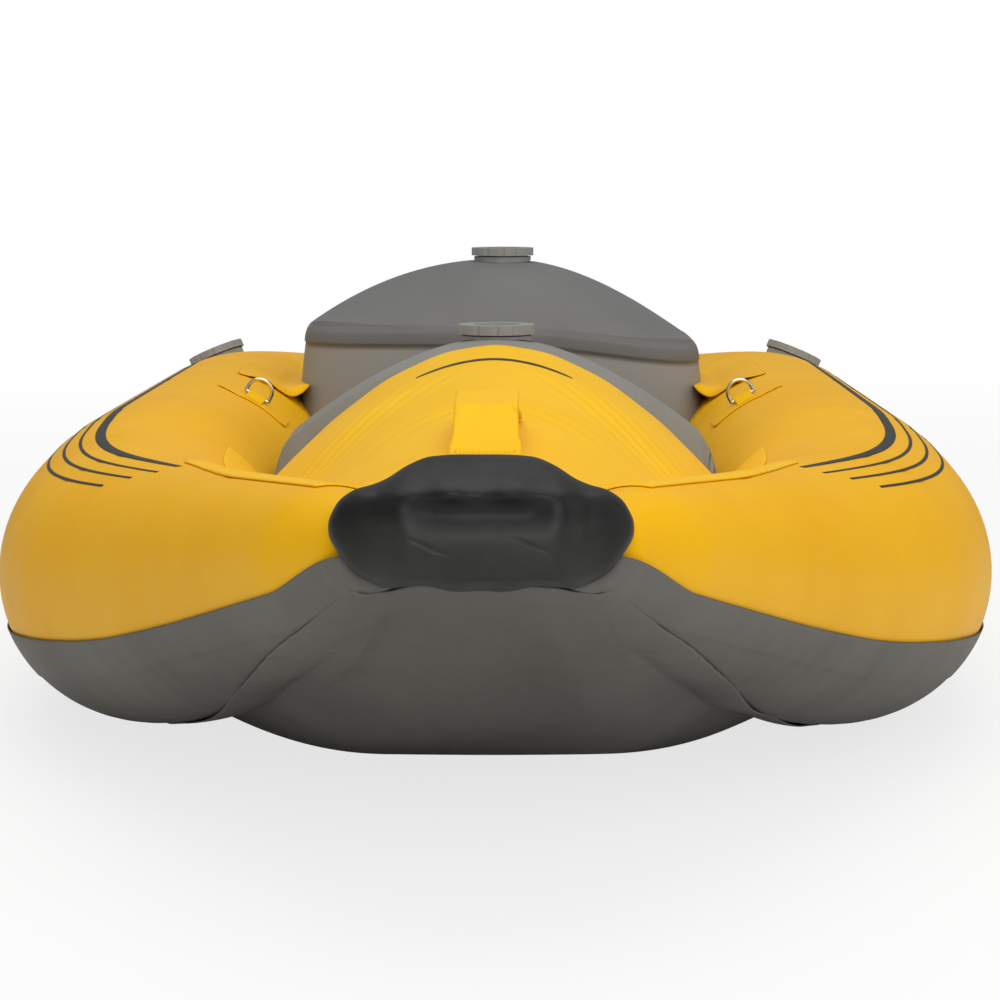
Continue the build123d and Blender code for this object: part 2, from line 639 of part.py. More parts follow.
def valve_cap():
    """A scalloped screw cap: a top, a grip skirt outside and a threaded ring round the barrel."""
    underside = VALVE_RIM + SEAL_THICKNESS
    top = disc(CAP_RADIUS, underside, CAP_TOP)
    skirt = disc(CAP_RADIUS, CAP_SKIRT_BOTTOM, CAP_TOP) - disc(CAP_RADIUS - CAP_WALL, 0, underside)
    inside = VALVE_BARREL / 2 + CAP_CLEARANCE
    ring = disc(inside + CAP_WALL, CAP_SKIRT_BOTTOM, CAP_TOP) - disc(inside, 0, underside)
    recess_floor = CAP_TOP - CAP_RECESS_DEPTH
    cap = top + skirt + ring - disc(CAP_RECESS_RADIUS, recess_floor, 2 * CAP_TOP)
    grip_bar = Box(2 * CAP_RECESS_RADIUS, 2 * CAP_WALL, CAP_RECESS_DEPTH)
    cap = cap + Pos(0, 0, recess_floor + CAP_RECESS_DEPTH / 2) * grip_bar
    scallop_x = CAP_RADIUS + CAP_SCALLOP_RADIUS - CAP_WALL / 2
    scallop = Pos(scallop_x, 0, 0) * disc(CAP_SCALLOP_RADIUS, 0, 2 * CAP_TOP)
    for number in range(CAP_SCALLOPS):
        cap = cap - Rot(0, 0, 360 * number / CAP_SCALLOPS) * scallop
    return cap


def valve_seal():
    ring = disc(VALVE_BARREL / 2, VALVE_RIM, VALVE_RIM + SEAL_THICKNESS)
    return ring - disc(VALVE_BARREL / 2 - SEAL_WIDTH, 0, 2 * VALVE_RIM)


def valve_nut():
    bottom = -VALVE_DEPTH + NUT_THICKNESS
    nut = disc(NUT_RADIUS, bottom, bottom + NUT_THICKNESS)
    return nut - disc(VALVE_BARREL / 2 + CAP_CLEARANCE, -VALVE_DEPTH, 0)


loose_pieces = {
    "poppet": valve_poppet(),
    "spring": valve_spring(),
    "cap": valve_cap(),
    "seal": valve_seal(),
    "nut": valve_nut(),
}
write_pair("valve_body", valve_body(tube_valve_frame, tube))
for name, piece in loose_pieces.items():
    write_pair("valve_" + name, tube_valve_frame * piece)
middle_valves = {
    "arch": (arch_valve_frame, arch_whole),
    "backrest": (backrest_valve_frame, backrest),
    "floor": (floor_valve_frame, floor),
}
for place, (frame, chamber) in middle_valves.items():
    write(place + "_valve_body", valve_body(frame, chamber))
    for name, piece in loose_pieces.items():
        write(place + "_valve_" + name, frame * piece)
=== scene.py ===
import math

import bmesh
import bpy
import numpy as np
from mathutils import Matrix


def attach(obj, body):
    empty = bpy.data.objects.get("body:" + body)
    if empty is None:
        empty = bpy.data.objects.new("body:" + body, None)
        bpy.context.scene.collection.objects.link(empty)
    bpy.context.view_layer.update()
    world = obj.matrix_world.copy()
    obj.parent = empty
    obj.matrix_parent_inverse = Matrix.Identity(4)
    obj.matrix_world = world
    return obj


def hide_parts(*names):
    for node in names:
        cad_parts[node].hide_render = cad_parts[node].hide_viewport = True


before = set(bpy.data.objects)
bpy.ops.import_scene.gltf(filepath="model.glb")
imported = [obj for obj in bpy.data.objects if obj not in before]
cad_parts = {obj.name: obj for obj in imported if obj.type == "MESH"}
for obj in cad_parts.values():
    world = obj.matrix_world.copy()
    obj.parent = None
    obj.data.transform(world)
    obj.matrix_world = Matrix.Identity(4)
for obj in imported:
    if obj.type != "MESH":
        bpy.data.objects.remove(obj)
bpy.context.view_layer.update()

# Studio. A pale floor under the boat, a white room round it, and four large soft lamps.
# The camera looks along the boat from ahead of the bow, a little above the hull.
scene = bpy.context.scene
scene.view_settings.view_transform = "Standard"
CAMERA_PLACE = (0.033, -3.25, 0.5665)
CAMERA_PITCH_DOWN = 0.127
CAMERA_TURN = 0.0105
LENS_MM = 93.6


def linear(hex_colour):
    """An sRGB hex colour as linear red, green, blue and alpha."""
    parts = [int(hex_colour[i : i + 2], 16) / 255 for i in (1, 3, 5)]
    return tuple(
        c / 12.92 if c <= 0.04045 else ((c + 0.055) / 1.055) ** 2.4 for c in parts
    ) + (1.0,)


def add_node(tree, kind, inputs=None, **settings):
    """Adds a node with its settings. An input is a value, or another node's output to link."""
    node = tree.nodes.new(kind)
    for name, value in settings.items():
        setattr(node, name, value)
    for name, value in (inputs or {}).items():
        if isinstance(value, bpy.types.NodeSocket):
            tree.links.new(value, node.inputs[name])
        else:
            node.inputs[name].default_value = value
    return node


def new_material(name):
    """A material with an empty node tree, and the tree."""
    material = bpy.data.materials.new(name)
    material.use_nodes = True
    material.node_tree.nodes.clear()
    return material, material.node_tree


def show(tree, shader):
    """Links a shader to the material's surface."""
    add_node(tree, "ShaderNodeOutputMaterial", {"Surface": shader.outputs[0]})


camera_data = bpy.data.cameras.new("camera")
camera_data.lens = LENS_MM
camera_data.sensor_width = 36
camera = bpy.data.objects.new("camera", camera_data)
camera.location = CAMERA_PLACE
camera.rotation_euler = (math.pi / 2 - CAMERA_PITCH_DOWN, 0, CAMERA_TURN)
scene.collection.objects.link(camera)
scene.camera = camera


def add_lamp(name, place, target, size, power, glossy=True):
    """A square soft lamp that points at a target. A lamp that isn't glossy makes no highlights."""
    lamp = bpy.data.lights.new(name, "AREA")
    lamp.size = size
    lamp.energy = power
    holder = bpy.data.objects.new(name, lamp)
    holder.location = place
    holder.visible_glossy = glossy
    away = holder.location - type(holder.location)(target)
    holder.rotation_euler = away.to_track_quat("Z", "Y").to_euler()
    scene.collection.objects.link(holder)


add_lamp("overhead_softbox", (0, -0.6, 3.2), (0, -0.2, 0.2), size=3.4, power=62)
add_lamp("front_softbox", (0.5, -4.4, 1.9), (0, -1.0, 0.3), size=2.4, power=50)
add_lamp("side_softbox", (3.2, -1.6, 1.6), (0, -0.4, 0.3), size=2.4, power=15)
add_lamp("rear_softbox", (-1.4, 4.2, 2.2), (0, 0.4, 0.3), size=2.4, power=26, glossy=False)

world = bpy.data.worlds.new("white_room")
scene.world = world
world.use_nodes = True
world.node_tree.nodes.clear()


def seen_directly(tree):
    """1 for rays that show the background: from the camera or through glass."""
    path = add_node(tree, "ShaderNodeLightPath")
    return add_node(
        tree, "ShaderNodeMath",
        {0: path.outputs["Is Camera Ray"], 1: path.outputs["Is Transmission Ray"]},
        operation="MAXIMUM",
    ).outputs[0]


room_light = add_node(
    world.node_tree, "ShaderNodeBackground", {"Color": (1, 1, 1, 1), "Strength": 0.36},
)
room_seen = add_node(
    world.node_tree, "ShaderNodeBackground", {"Color": (1, 1, 1, 1), "Strength": 1.0},
)
room_mix = add_node(
    world.node_tree, "ShaderNodeMixShader",
    {0: seen_directly(world.node_tree), 1: room_light.outputs[0], 2: room_seen.outputs[0]},
)
add_node(world.node_tree, "ShaderNodeOutputWorld", {"Surface": room_mix.outputs[0]})

# Studio floor: matt white paint near the boat, that fades into the white room further out.
floor_paint, paint = new_material("matt_white_floor_paint")
FADE_START, FADE_END = 0.2, 4.0
LEAST_WHITE = 0.72
floor_place = add_node(paint, "ShaderNodeTexCoord").outputs["Object"]
floor_distance = add_node(
    paint, "ShaderNodeVectorMath", {0: floor_place}, operation="LENGTH",
).outputs["Value"]
fade = add_node(
    paint, "ShaderNodeMapRange",
    {"Value": floor_distance, "From Min": FADE_START, "From Max": FADE_END, "To Min": LEAST_WHITE},
)
fade_seen = add_node(
    paint, "ShaderNodeMath", {0: fade.outputs[0], 1: seen_directly(paint)}, operation="MULTIPLY",
)
floor_matt = add_node(paint, "ShaderNodeBsdfDiffuse", {"Color": linear("#F4F4F3")})
floor_white = add_node(paint, "ShaderNodeEmission", {"Color": (1, 1, 1, 1), "Strength": 1.0})
floor_mix = add_node(
    paint, "ShaderNodeMixShader",
    {0: fade_seen.outputs[0], 1: floor_matt.outputs[0], 2: floor_white.outputs[0]},
)
show(paint, floor_mix)
floor_mesh = bpy.data.meshes.new("studio_floor")
FLOOR_REACH = 30
floor_mesh.from_pydata(
    [
        (-FLOOR_REACH, -FLOOR_REACH, 0), (FLOOR_REACH, -FLOOR_REACH, 0),
        (FLOOR_REACH, FLOOR_REACH, 0), (-FLOOR_REACH, FLOOR_REACH, 0),
    ],
    [], [(0, 1, 2, 3)],
)
floor_mesh.materials.append(floor_paint)
studio_floor = bpy.data.objects.new("studio_floor", floor_mesh)
scene.collection.objects.link(studio_floor)

# Side tubes. Two long air chambers of yellow coated fabric, cut as tapered barrels and hot-air welded,
# pumped hard, so they show only shallow dents and short puckers where they turn in at the ends.
LENGTH = 2.900
TUBE_OFFSET = 0.368
TUBE_RADIUS = 0.1525
TUBE_CLEARANCE_BELOW = 0.006
TIP_RADIUS = 0.036
TIP_OFFSET = 0.060
TIP_SETBACK = 0.012
BOW_TURN_IN, BOW_TAPER, BOW_RISE, BOW_RISE_RUN = 0.767, 0.785, 0.262, 0.690
STERN_TURN_IN, STERN_TAPER, STERN_RISE, STERN_RISE_RUN = 0.850, 0.850, 0.120, 0.800
TURN_SOFTNESS, TAPER_SOFTNESS, RISE_SOFTNESS = 0.160, 0.300, 0.266


def coated_fabric(name, colour, shade, roughness, scuffs=0.0):
    """Polyester cloth coated with soft PVC: an even colour with a faint cloudiness, a low satin gloss,
    and threads that print through only a little. Threads are about 1 mm apart, drawn at 2.5 mm to show."""
    material, tree = new_material(name)
    place = add_node(tree, "ShaderNodeTexCoord")
    clouds = add_node(
        tree, "ShaderNodeTexNoise",
        {"Vector": place.outputs["Object"], "Scale": 5.0, "Detail": 5.0, "Roughness": 0.6},
    )
    patchy = add_node(
        tree, "ShaderNodeMapRange",
        {"Value": clouds.outputs["Fac"], "From Min": 0.35, "From Max": 0.75},
    )
    tint = add_node(
        tree, "ShaderNodeMix", {0: patchy.outputs[0], 6: linear(colour), 7: linear(shade)},
        data_type="RGBA",
    )
    stretched = add_node(
        tree, "ShaderNodeMapping", {"Vector": place.outputs["UV"], "Scale": (60.0, 6.0, 1.0)},
    )
    rubbed = add_node(
        tree, "ShaderNodeTexNoise",
        {"Vector": stretched.outputs[0], "Scale": 1.0, "Detail": 8.0, "Roughness": 0.75},
    )
    worn = add_node(
        tree, "ShaderNodeMapRange",
        {"Value": rubbed.outputs["Fac"], "From Min": 0.55, "From Max": 0.85, "To Max": scuffs},
    )
    # Painted light: where a piece stores a share, the coat is mixed towards pale grey #A6A6A2, which stands in for
    # light falling on the backrest's wall below its seam. The wall's fabric is the same as the dome's.
    painted_light_share = add_node(tree, "ShaderNodeAttribute", attribute_name="painted_light_wall")
    painted_light_tint = add_node(
        tree, "ShaderNodeMix", {0: painted_light_share.outputs["Fac"], 6: tint.outputs[2], 7: linear("#A6A6A2")},
        data_type="RGBA",
    )
    coat = add_node(
        tree, "ShaderNodeMix", {0: worn.outputs[0], 6: painted_light_tint.outputs[2], 7: linear("#8C8A84")},
        data_type="RGBA",
    )
    gloss = add_node(
        tree, "ShaderNodeMapRange",
        {"Value": clouds.outputs["Fac"], "To Min": roughness - 0.06, "To Max": roughness + 0.08},
    )
    warp = add_node(
        tree, "ShaderNodeTexWave",
        {"Vector": place.outputs["UV"], "Scale": 0.314 / 0.0025, "Distortion": 0.0},
        bands_direction="X",
    )
    weft = add_node(
        tree, "ShaderNodeTexWave",
        {"Vector": place.outputs["UV"], "Scale": 0.314 / 0.0025, "Distortion": 0.0},
        bands_direction="Y",
    )
    threads = add_node(
        tree, "ShaderNodeMath", {0: warp.outputs["Fac"], 1: weft.outputs["Fac"]},
        operation="MULTIPLY",
    )
    ripple = add_node(
        tree, "ShaderNodeTexNoise",
        {"Vector": place.outputs["Object"], "Scale": 26.0, "Detail": 3.0},
    )
    soft_bump = add_node(
        tree, "ShaderNodeBump",
        {"Height": ripple.outputs["Fac"], "Strength": 0.22, "Distance": 0.002},
    )
    pucker = add_node(
        tree, "ShaderNodeBump",
        {
            "Height": rubbed.outputs["Fac"], "Strength": 0.16, "Distance": 0.0012,
            "Normal": soft_bump.outputs[0],
        },
    )
    weave_bump = add_node(
        tree, "ShaderNodeBump",
        {
            "Height": threads.outputs[0], "Strength": 0.10, "Distance": 0.0003,
            "Normal": pucker.outputs[0],
        },
    )
    shader = add_node(
        tree, "ShaderNodeBsdfPrincipled",
        {
            "Base Color": coat.outputs[2], "Roughness": gloss.outputs[0],
            "Normal": weave_bump.outputs[0], "IOR": 1.5, "Specular IOR Level": 0.12,
        },
    )
    show(tree, shader)
    return material


yellow_coated_fabric = coated_fabric("yellow_pvc_coated_polyester", "#F2B605", "#EBAC02", 0.46)


def eased(distance, softness):
    """The distance left to the end of a run, eased to nothing over the softness."""
    soft = (distance + softness) ** 2 / (4 * softness)
    return np.where(distance <= -softness, 0, np.where(distance >= softness, distance, soft))


def ramp(distance, tip, middle, run, softness):
    """A size that goes from its tip value to its middle value over a run, then holds."""
    return middle - (middle - tip) * eased(run - distance, softness) / eased(run, softness)


def tube_offset(s):
    bow = ramp(s, TIP_OFFSET, TUBE_OFFSET, BOW_TURN_IN, TURN_SOFTNESS)
    return bow + ramp(
        LENGTH - s, TIP_OFFSET, TUBE_OFFSET, STERN_TURN_IN, TURN_SOFTNESS,
    ) - TUBE_OFFSET


def tube_radius(s):
    bow = ramp(s, TIP_RADIUS, TUBE_RADIUS, BOW_TAPER, TAPER_SOFTNESS)
    return bow + ramp(
        LENGTH - s, TIP_RADIUS, TUBE_RADIUS, STERN_TAPER, TAPER_SOFTNESS,
    ) - TUBE_RADIUS


def tube_height(s):
    bow = ramp(s, BOW_RISE, 0, BOW_RISE_RUN, RISE_SOFTNESS)
    stern = ramp(LENGTH - s, STERN_RISE, 0, STERN_RISE_RUN, RISE_SOFTNESS)
    return TUBE_CLEARANCE_BELOW + bow + stern + tube_radius(s)


TUCK, TUCK_START, TUCK_END = 0.016, 0.030, 0.140


def tip_tuck(s):
    """How far the skins are drawn in at each tip, where they pass into the bumper."""
    share = np.clip((np.minimum(s, LENGTH - s) - TUCK_START) / (TUCK_END - TUCK_START), 0, 1)
    return TUCK * (1 - share * share * (3 - 2 * share))


def slope(size, s):
    return (size(s + 0.001) - size(s - 0.001)) / 0.002


def on_tube(s, angle, grow=0.0):
    """Points on the port tube, as an array of x, y, z. The angle goes from the top, positive inboard."""
    s, angle, grow = np.broadcast_arrays(np.asarray(s, float), np.radians(angle), grow)
    radius = tube_radius(s) - tip_tuck(s) + grow
    width = radius * np.sqrt(1 + slope(tube_offset, s) ** 2)
    height = radius * np.sqrt(1 + slope(tube_height, s) ** 2)
    x = tube_offset(s) - width * np.sin(angle)
    return np.stack([x, s - LENGTH / 2, tube_height(s) + height * np.cos(angle)], axis=-1)


def add_piece(name, vertices, faces, material, uvs=None):
    """A mesh object at the origin, smooth, with one finish. The uvs are metres along and round the piece."""
    mesh = bpy.data.meshes.new(name)
    mesh.from_pydata([tuple(v) for v in vertices], [], faces)
    if uvs is not None:
        layer = mesh.uv_layers.new(name="skin")
        corners = np.zeros(len(mesh.loops), int)
        mesh.loops.foreach_get("vertex_index", corners)
        layer.data.foreach_set("uv", np.asarray(uvs, float)[corners].ravel())
    mesh.materials.append(material)
    mesh.shade_smooth()
    piece = bpy.data.objects.new(name, mesh)
    scene.collection.objects.link(piece)
    return piece


def face_out(piece):
    """Turns every face of a closed piece outwards."""
    work = bmesh.new()
    work.from_mesh(piece.data)
    bmesh.ops.remove_doubles(work, verts=work.verts, dist=0.00001)
    bmesh.ops.recalc_face_normals(work, faces=work.faces)
    work.to_mesh(piece.data)
    work.free()
    return piece


def mark(piece, name, share_at):
    """Stores a share from 0 to 1 on each vertex, worked out from where it is, for the piece's finish to read."""
    mesh = piece.data
    place = np.zeros(len(mesh.vertices) * 3)
    mesh.vertices.foreach_get("co", place)
    shares = mesh.attributes.new(name, "FLOAT", "POINT")
    shares.data.foreach_set("value", share_at(place.reshape(-1, 3)))


def grid_uvs(points):
    """Metres along the rows, and metres round each row from its middle."""
    steps = np.linalg.norm(np.diff(points, axis=1), axis=2)
    girth = np.concatenate([np.zeros((len(points), 1)), np.cumsum(steps, axis=1)], axis=1)
    girth -= girth[:, [girth.shape[1] // 2]]
    run = np.linalg.norm(np.diff(points[:, points.shape[1] // 2], axis=0), axis=1)
    along = np.concatenate([[0], np.cumsum(run)])
    return np.stack([np.broadcast_to(along[:, None], girth.shape), girth], axis=-1).reshape(-1, 2)


def closed_loft(name, points, material):
    """A closed skin through rings of points, with its two ends closed by fans."""
    rows, columns = points.shape[:2]
    uvs = grid_uvs(points)
    vertices = np.concatenate([points.reshape(-1, 3), points[[0, -1]].mean(axis=1)])
    uvs = np.concatenate([uvs, uvs[[0, -1]]])
    faces = []
    for i in range(rows - 1):
        for j in range(columns):
            k = (j + 1) % columns
            faces.append(
                (i * columns + j, (i + 1) * columns + j, (i + 1) * columns + k, i * columns + k)
            )
    first, last = rows * columns, rows * columns + 1
    for j in range(columns):
        k = (j + 1) % columns
        faces.append((first, j, k))
        faces.append((last, (rows - 1) * columns + k, (rows - 1) * columns + j))
    return face_out(add_piece(name, vertices, faces, material, uvs))


def mirrored(points):
    """The same piece on the starboard side."""
    return points * np.array([-1, 1, 1])


def smooth_step(value, low, high):
    share = np.clip((value - low) / (high - low), 0, 1)
    return share * share * (3 - 2 * share)


def bell(value, middle, width):
    return np.exp(-(((value - middle) / width) ** 2))


TUBE_START = 0.050
TUBE_STATIONS = np.linspace(TUBE_START, LENGTH - TUBE_START, 420)
TUBE_ANGLES = np.linspace(-180, 180, 128, endpoint=False)
WELD_STATIONS = (0.335, 0.66, 1.02, 1.45, 1.88, 2.26, 2.58)


def tube_dents(s, angle):
    """How far the tight skin is drawn in: at its welds, and in short puckers inside each turn."""
    drawn = 0.0 * s
    for weld in WELD_STATIONS:
        drawn = drawn - 0.0007 * bell(s, weld, 0.012)
    inboard = bell(angle, 75, 35)
    bow_turn = bell(s, 0.72, 0.16) * inboard
    stern_turn = bell(s, 2.12, 0.16) * inboard
    folds = np.maximum(0, np.sin(2 * math.pi * s / 0.047 + 0.8 * np.sin(angle / 16)))
    return drawn - 0.0022 * (bow_turn + stern_turn) * folds ** 2


POCKET_RADIUS, POCKET_RIM, POCKET_DEPTH = 0.029, 0.036, 0.042


def valve_pocket(points, centre, axis):
    """Sinks the skin under a valve's flange, which makes the round hole that its barrel drops through."""
    axis = np.array(axis)
    from_centre = points - np.array(centre)
    height = (from_centre * axis).sum(axis=-1, keepdims=True)
    radius = np.linalg.norm(from_centre - height * axis, axis=-1, keepdims=True)
    near = (1 - smooth_step(radius, POCKET_RADIUS, POCKET_RIM)) * (np.abs(height) < 0.05)
    return points - axis * near * (height + POCKET_DEPTH)


station_grid, angle_grid = np.meshgrid(TUBE_STATIONS, TUBE_ANGLES, indexing="ij")
closing = np.minimum(station_grid - TUBE_START, LENGTH - TUBE_START - station_grid) / 0.012
tip_round = -0.3 * tube_radius(station_grid) * (1 - np.sqrt(1 - (1 - np.clip(closing, 0, 1)) ** 2))
tube_points = on_tube(station_grid, angle_grid, tube_dents(station_grid, angle_grid) + tip_round)
TUBE_VALVE_STATION, TUBE_VALVE_ANGLE = 2.000, -23
tilt = math.radians(TUBE_VALVE_ANGLE)
tube_points = valve_pocket(
    tube_points, on_tube(TUBE_VALVE_STATION, TUBE_VALVE_ANGLE),
    (-math.sin(tilt), 0, math.cos(tilt)),
)
for side, points in (("port", tube_points), ("starboard", mirrored(tube_points))):
    tube = closed_loft(side + "_inflated_tube", points, yellow_coated_fabric)
    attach(tube, "hull")
    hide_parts(side + "_tube")

# Printed trim lines. Black ink screened on the outboard face of each tube: a bold line with
# two thin ones above it, all with slanted ends. Ink is a few hundredths of a millimetre thick, drawn at 0.3 mm.
black_ink, ink = new_material("black_screen_ink")
ink_place = add_node(ink, "ShaderNodeTexCoord").outputs["Object"]
ink_grain = add_node(
    ink, "ShaderNodeTexNoise", {"Vector": ink_place, "Scale": 900.0, "Detail": 2.0},
)
ink_gloss = add_node(
    ink, "ShaderNodeMapRange", {"Value": ink_grain.outputs["Fac"], "To Min": 0.38, "To Max": 0.55},
)
ink_shader = add_node(
    ink, "ShaderNodeBsdfPrincipled",
    {"Base Color": linear("#141310"), "Roughness": ink_gloss.outputs[0]},
)
show(ink, ink_shader)


def shell(name, outer, thickness, material, lift=None):
    """A thin closed sheet. Its outer face goes through a grid of points, and its inner face lies below."""
    rows, columns = outer.shape[:2]
    along = np.gradient(outer, axis=0)
    round_it = np.gradient(outer, axis=1)
    normal = np.cross(round_it, along)
    normal /= np.linalg.norm(normal, axis=2, keepdims=True) + 1e-12
    if lift is not None:
        normal *= np.sign((normal * lift).sum(axis=2, keepdims=True))
    inner = outer - normal * thickness
    vertices = np.concatenate([outer.reshape(-1, 3), inner.reshape(-1, 3)])
    uvs = np.tile(grid_uvs(outer), (2, 1))
    half = rows * columns
    faces = []
    for i in range(rows - 1):
        for j in range(columns - 1):
            a, b, c, d = i * columns + j, (
                i + 1
            ) * columns + j, (i + 1) * columns + j + 1, i * columns + j + 1
            faces.append((a, b, c, d))
            faces.append((half + d, half + c, half + b, half + a))
    rim = [(0, j) for j in range(columns)] + [(i, columns - 1) for i in range(1, rows)]
    rim += [
        (rows - 1, j) for j in range(columns - 2, -1, -1)
    ] + [(i, 0) for i in range(rows - 2, 0, -1)]
    loop = [i * columns + j for i, j in rim]
    for a, b in zip(loop, loop[1:] + loop[:1]):
        faces.append((a, b, half + b, half + a))
    return face_out(add_piece(name, vertices, faces, material, uvs))


def tube_outward(points):
    """The direction away from the port or starboard tube's own centreline, at each point."""
    s = points[..., 1] + LENGTH / 2
    side = np.sign(points[..., 0].mean())
    centre = np.stack([side * tube_offset(s), points[..., 1], tube_height(s)], axis=-1)
    return points - centre


def line_on_tube(name, ends, width, lift, thickness, material, side, taper=0.0):
    """A band laid on a tube along a smooth path of (station, angle) points, with slanted or tapered ends."""
    t = np.linspace(0, 1, 90)
    knots = np.linspace(0, 1, len(ends))
    route = np.array(ends, float)
    s, angle = np.interp(t, knots, route[:, 0]), np.interp(t, knots, route[:, 1])
    kernel = np.hanning(17) / np.hanning(17).sum()
    s = np.convolve(np.pad(s, 8, mode="edge"), kernel, "valid")
    angle = np.convolve(np.pad(angle, 8, mode="edge"), kernel, "valid")
    across_s, across_a = -np.gradient(np.radians(angle) * TUBE_RADIUS), np.gradient(s)
    size = np.hypot(across_s, across_a)
    half = width / 2 * (1 - taper * np.abs(2 * t - 1) ** 3)
    offsets = np.linspace(-1, 1, 5)[None, :] * half[:, None]
    s_grid = s[:, None] + offsets * (across_s / size)[:, None]
    a_grid = angle[:, None] + np.degrees(offsets * (across_a / size)[:, None] / TUBE_RADIUS)
    points = on_tube(s_grid, a_grid, lift)
    if side == "starboard":
        points = mirrored(points)
    return shell(name, points, thickness, material, tube_outward(points))


TRIM_LINES = {
    "bold": ([(0.50, -6), (0.72, -14), (1.05, -19), (1.50, -21), (1.90, -21)], 0.012, 0.35),
    "first_thin": ([(0.49, -17), (0.72, -23), (1.05, -27), (1.50, -29), (1.84, -29)], 0.0038, 0.0),
    "second_thin": ([(0.51, -26), (0.74, -31), (1.05, -34), (1.50, -36), (1.78, -36)], 0.0038, 0.0),
    "third_thin": ([(0.54, -35), (0.76, -39), (1.05, -42), (1.50, -43), (1.72, -43)], 0.0038, 0.0),
}
for side in ("port", "starboard"):
    for place, (route, width, taper) in TRIM_LINES.items():
        trim = line_on_tube(
            side + "_trim_" + place, route, width, 0.0004, 0.0003, black_ink, side, taper,
        )
        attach(trim, "hull")

# Bottom panels. A second layer of grey coated fabric wrapped round the underside of each tube against
# wear, with a lapped joint part of the way down, drawn tight by hand as the glue takes, so it shows fine pulls.
grey_bottom_fabric = coated_fabric("grey_pvc_coated_polyester", "#6A6862", "#5F5D58", 0.5, 0.12)
PANEL_LIFT = 0.0017
PANEL_SETBACK = 0.041
PANEL_NOSE = 0.011


PANEL_EDGE_ANGLE, PANEL_DIP, PANEL_TURN_UP = -111, 6.5, 20
PANEL_INNER_ANGLE = -236
LAP_ANGLE, LAP_SWEEP, LAP_SWEEP_RUN = -132.5, 20.5, 0.19
LAP_STEP = 0.0011


def panel_edge(s):
    """Where the grey starts on the tube's outboard side. It is cut lower near the bow, and turns up at the tip."""
    dip = PANEL_DIP * smooth_step(0.7 - s, 0, 0.45)
    return PANEL_EDGE_ANGLE - dip + PANEL_TURN_UP * (1 - smooth_step(s, 0.03, 0.12))


def from_tip(s):
    """Metres to the nearer tip."""
    return np.minimum(s, LENGTH - s)


def lap_edge(s):
    """The panel's lap runs along the tube, and sweeps in under it towards each tip."""
    return LAP_ANGLE - LAP_SWEEP * np.exp(-(from_tip(s) - 0.125) / LAP_SWEEP_RUN)


def panel_pulls(s, angle):
    """Fine creases across the panel where it was pulled round the narrowing tube."""
    near_bow = smooth_step(0.85 - s, 0, 0.3) + smooth_step(s - 2.2, 0, 0.3)
    wave = np.sin(
        2 * math.pi * s / 0.041 + angle / 7 + 2.6 * np.sin(s * 17) + 1.3 * np.sin(angle / 13)
    )
    return 0.00022 * near_bow * wave * bell(angle, -150, 45)


panel_stations = np.linspace(PANEL_SETBACK, LENGTH - PANEL_SETBACK, 520)[:, None]
panel_share = np.linspace(0, 1, 72)[None, :]
panel_angles = panel_edge(panel_stations) + (
    PANEL_INNER_ANGLE - panel_edge(panel_stations)
) * panel_share
lapped = smooth_step(lap_edge(panel_stations) - panel_angles, -0.45, 0.45)
panel_grow = PANEL_LIFT + panel_pulls(panel_stations, panel_angles) + LAP_STEP * (1 - lapped)
from_nose = np.clip(
    (np.minimum(panel_stations, LENGTH - panel_stations) - PANEL_SETBACK) / PANEL_NOSE, 0, 1,
)
panel_grow = panel_grow - 0.3 * tube_radius(panel_stations) * (
    1 - np.sqrt(1 - (1 - from_nose) ** 2)
)
panel_points = on_tube(panel_stations, panel_angles, panel_grow)
for side, points in (("port", panel_points), ("starboard", mirrored(panel_points))):
    panel = shell(
        side + "_bottom_wear_panel", points, 0.0012, grey_bottom_fabric, tube_outward(points),
    )
    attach(panel, "hull")
    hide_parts(side + "_bottom_panel")

# Belly. One sheet of the same grey fabric, glued under both tubes along wide flanges. It hangs as a
# shallow trough, flat amidships, and is gathered towards the tips, so soft folds fan out from there.
BELLY_BOW_RISE, BELLY_BOW_RUN, BELLY_STERN_RISE, BELLY_STERN_RUN = 0.295, 0.522, 0.160, 0.600
BELLY_FLAT_WIDTH = 0.240
BELLY_VALLEY_ANGLE = -208
BELLY_FULL_STATION = 1.100
BELLY_LIFT = 0.0040
COVER_START = 0.1505


def belly_height(s):
    bow = ramp(s, BELLY_BOW_RISE, 0, BELLY_BOW_RUN, RISE_SOFTNESS)
    return bow + ramp(LENGTH - s, BELLY_STERN_RISE, 0, BELLY_STERN_RUN, RISE_SOFTNESS)


FLANGE_TIP_ANGLE, FLANGE_SWEEP, FLANGE_LATE_SWEEP = -152, 32, 5
VALLEY_TIP_SHIFT, VALLEY_SHIFT_RUN = 37, 0.17


def belly_flange_edge(s):
    """The flange's outer edge sweeps out round the tubes towards the tips, where it meets the panels' laps."""
    run = from_tip(s)
    return FLANGE_TIP_ANGLE - FLANGE_SWEEP * smooth_step(
        run, 0.05, 0.52,
    ) - FLANGE_LATE_SWEEP * smooth_step(run, 0.5, 0.9)


def belly_valley_angle(s):
    """Where the belly leaves each tube."""
    return BELLY_VALLEY_ANGLE + VALLEY_TIP_SHIFT * np.exp(-(from_tip(s) - 0.03) / VALLEY_SHIFT_RUN)


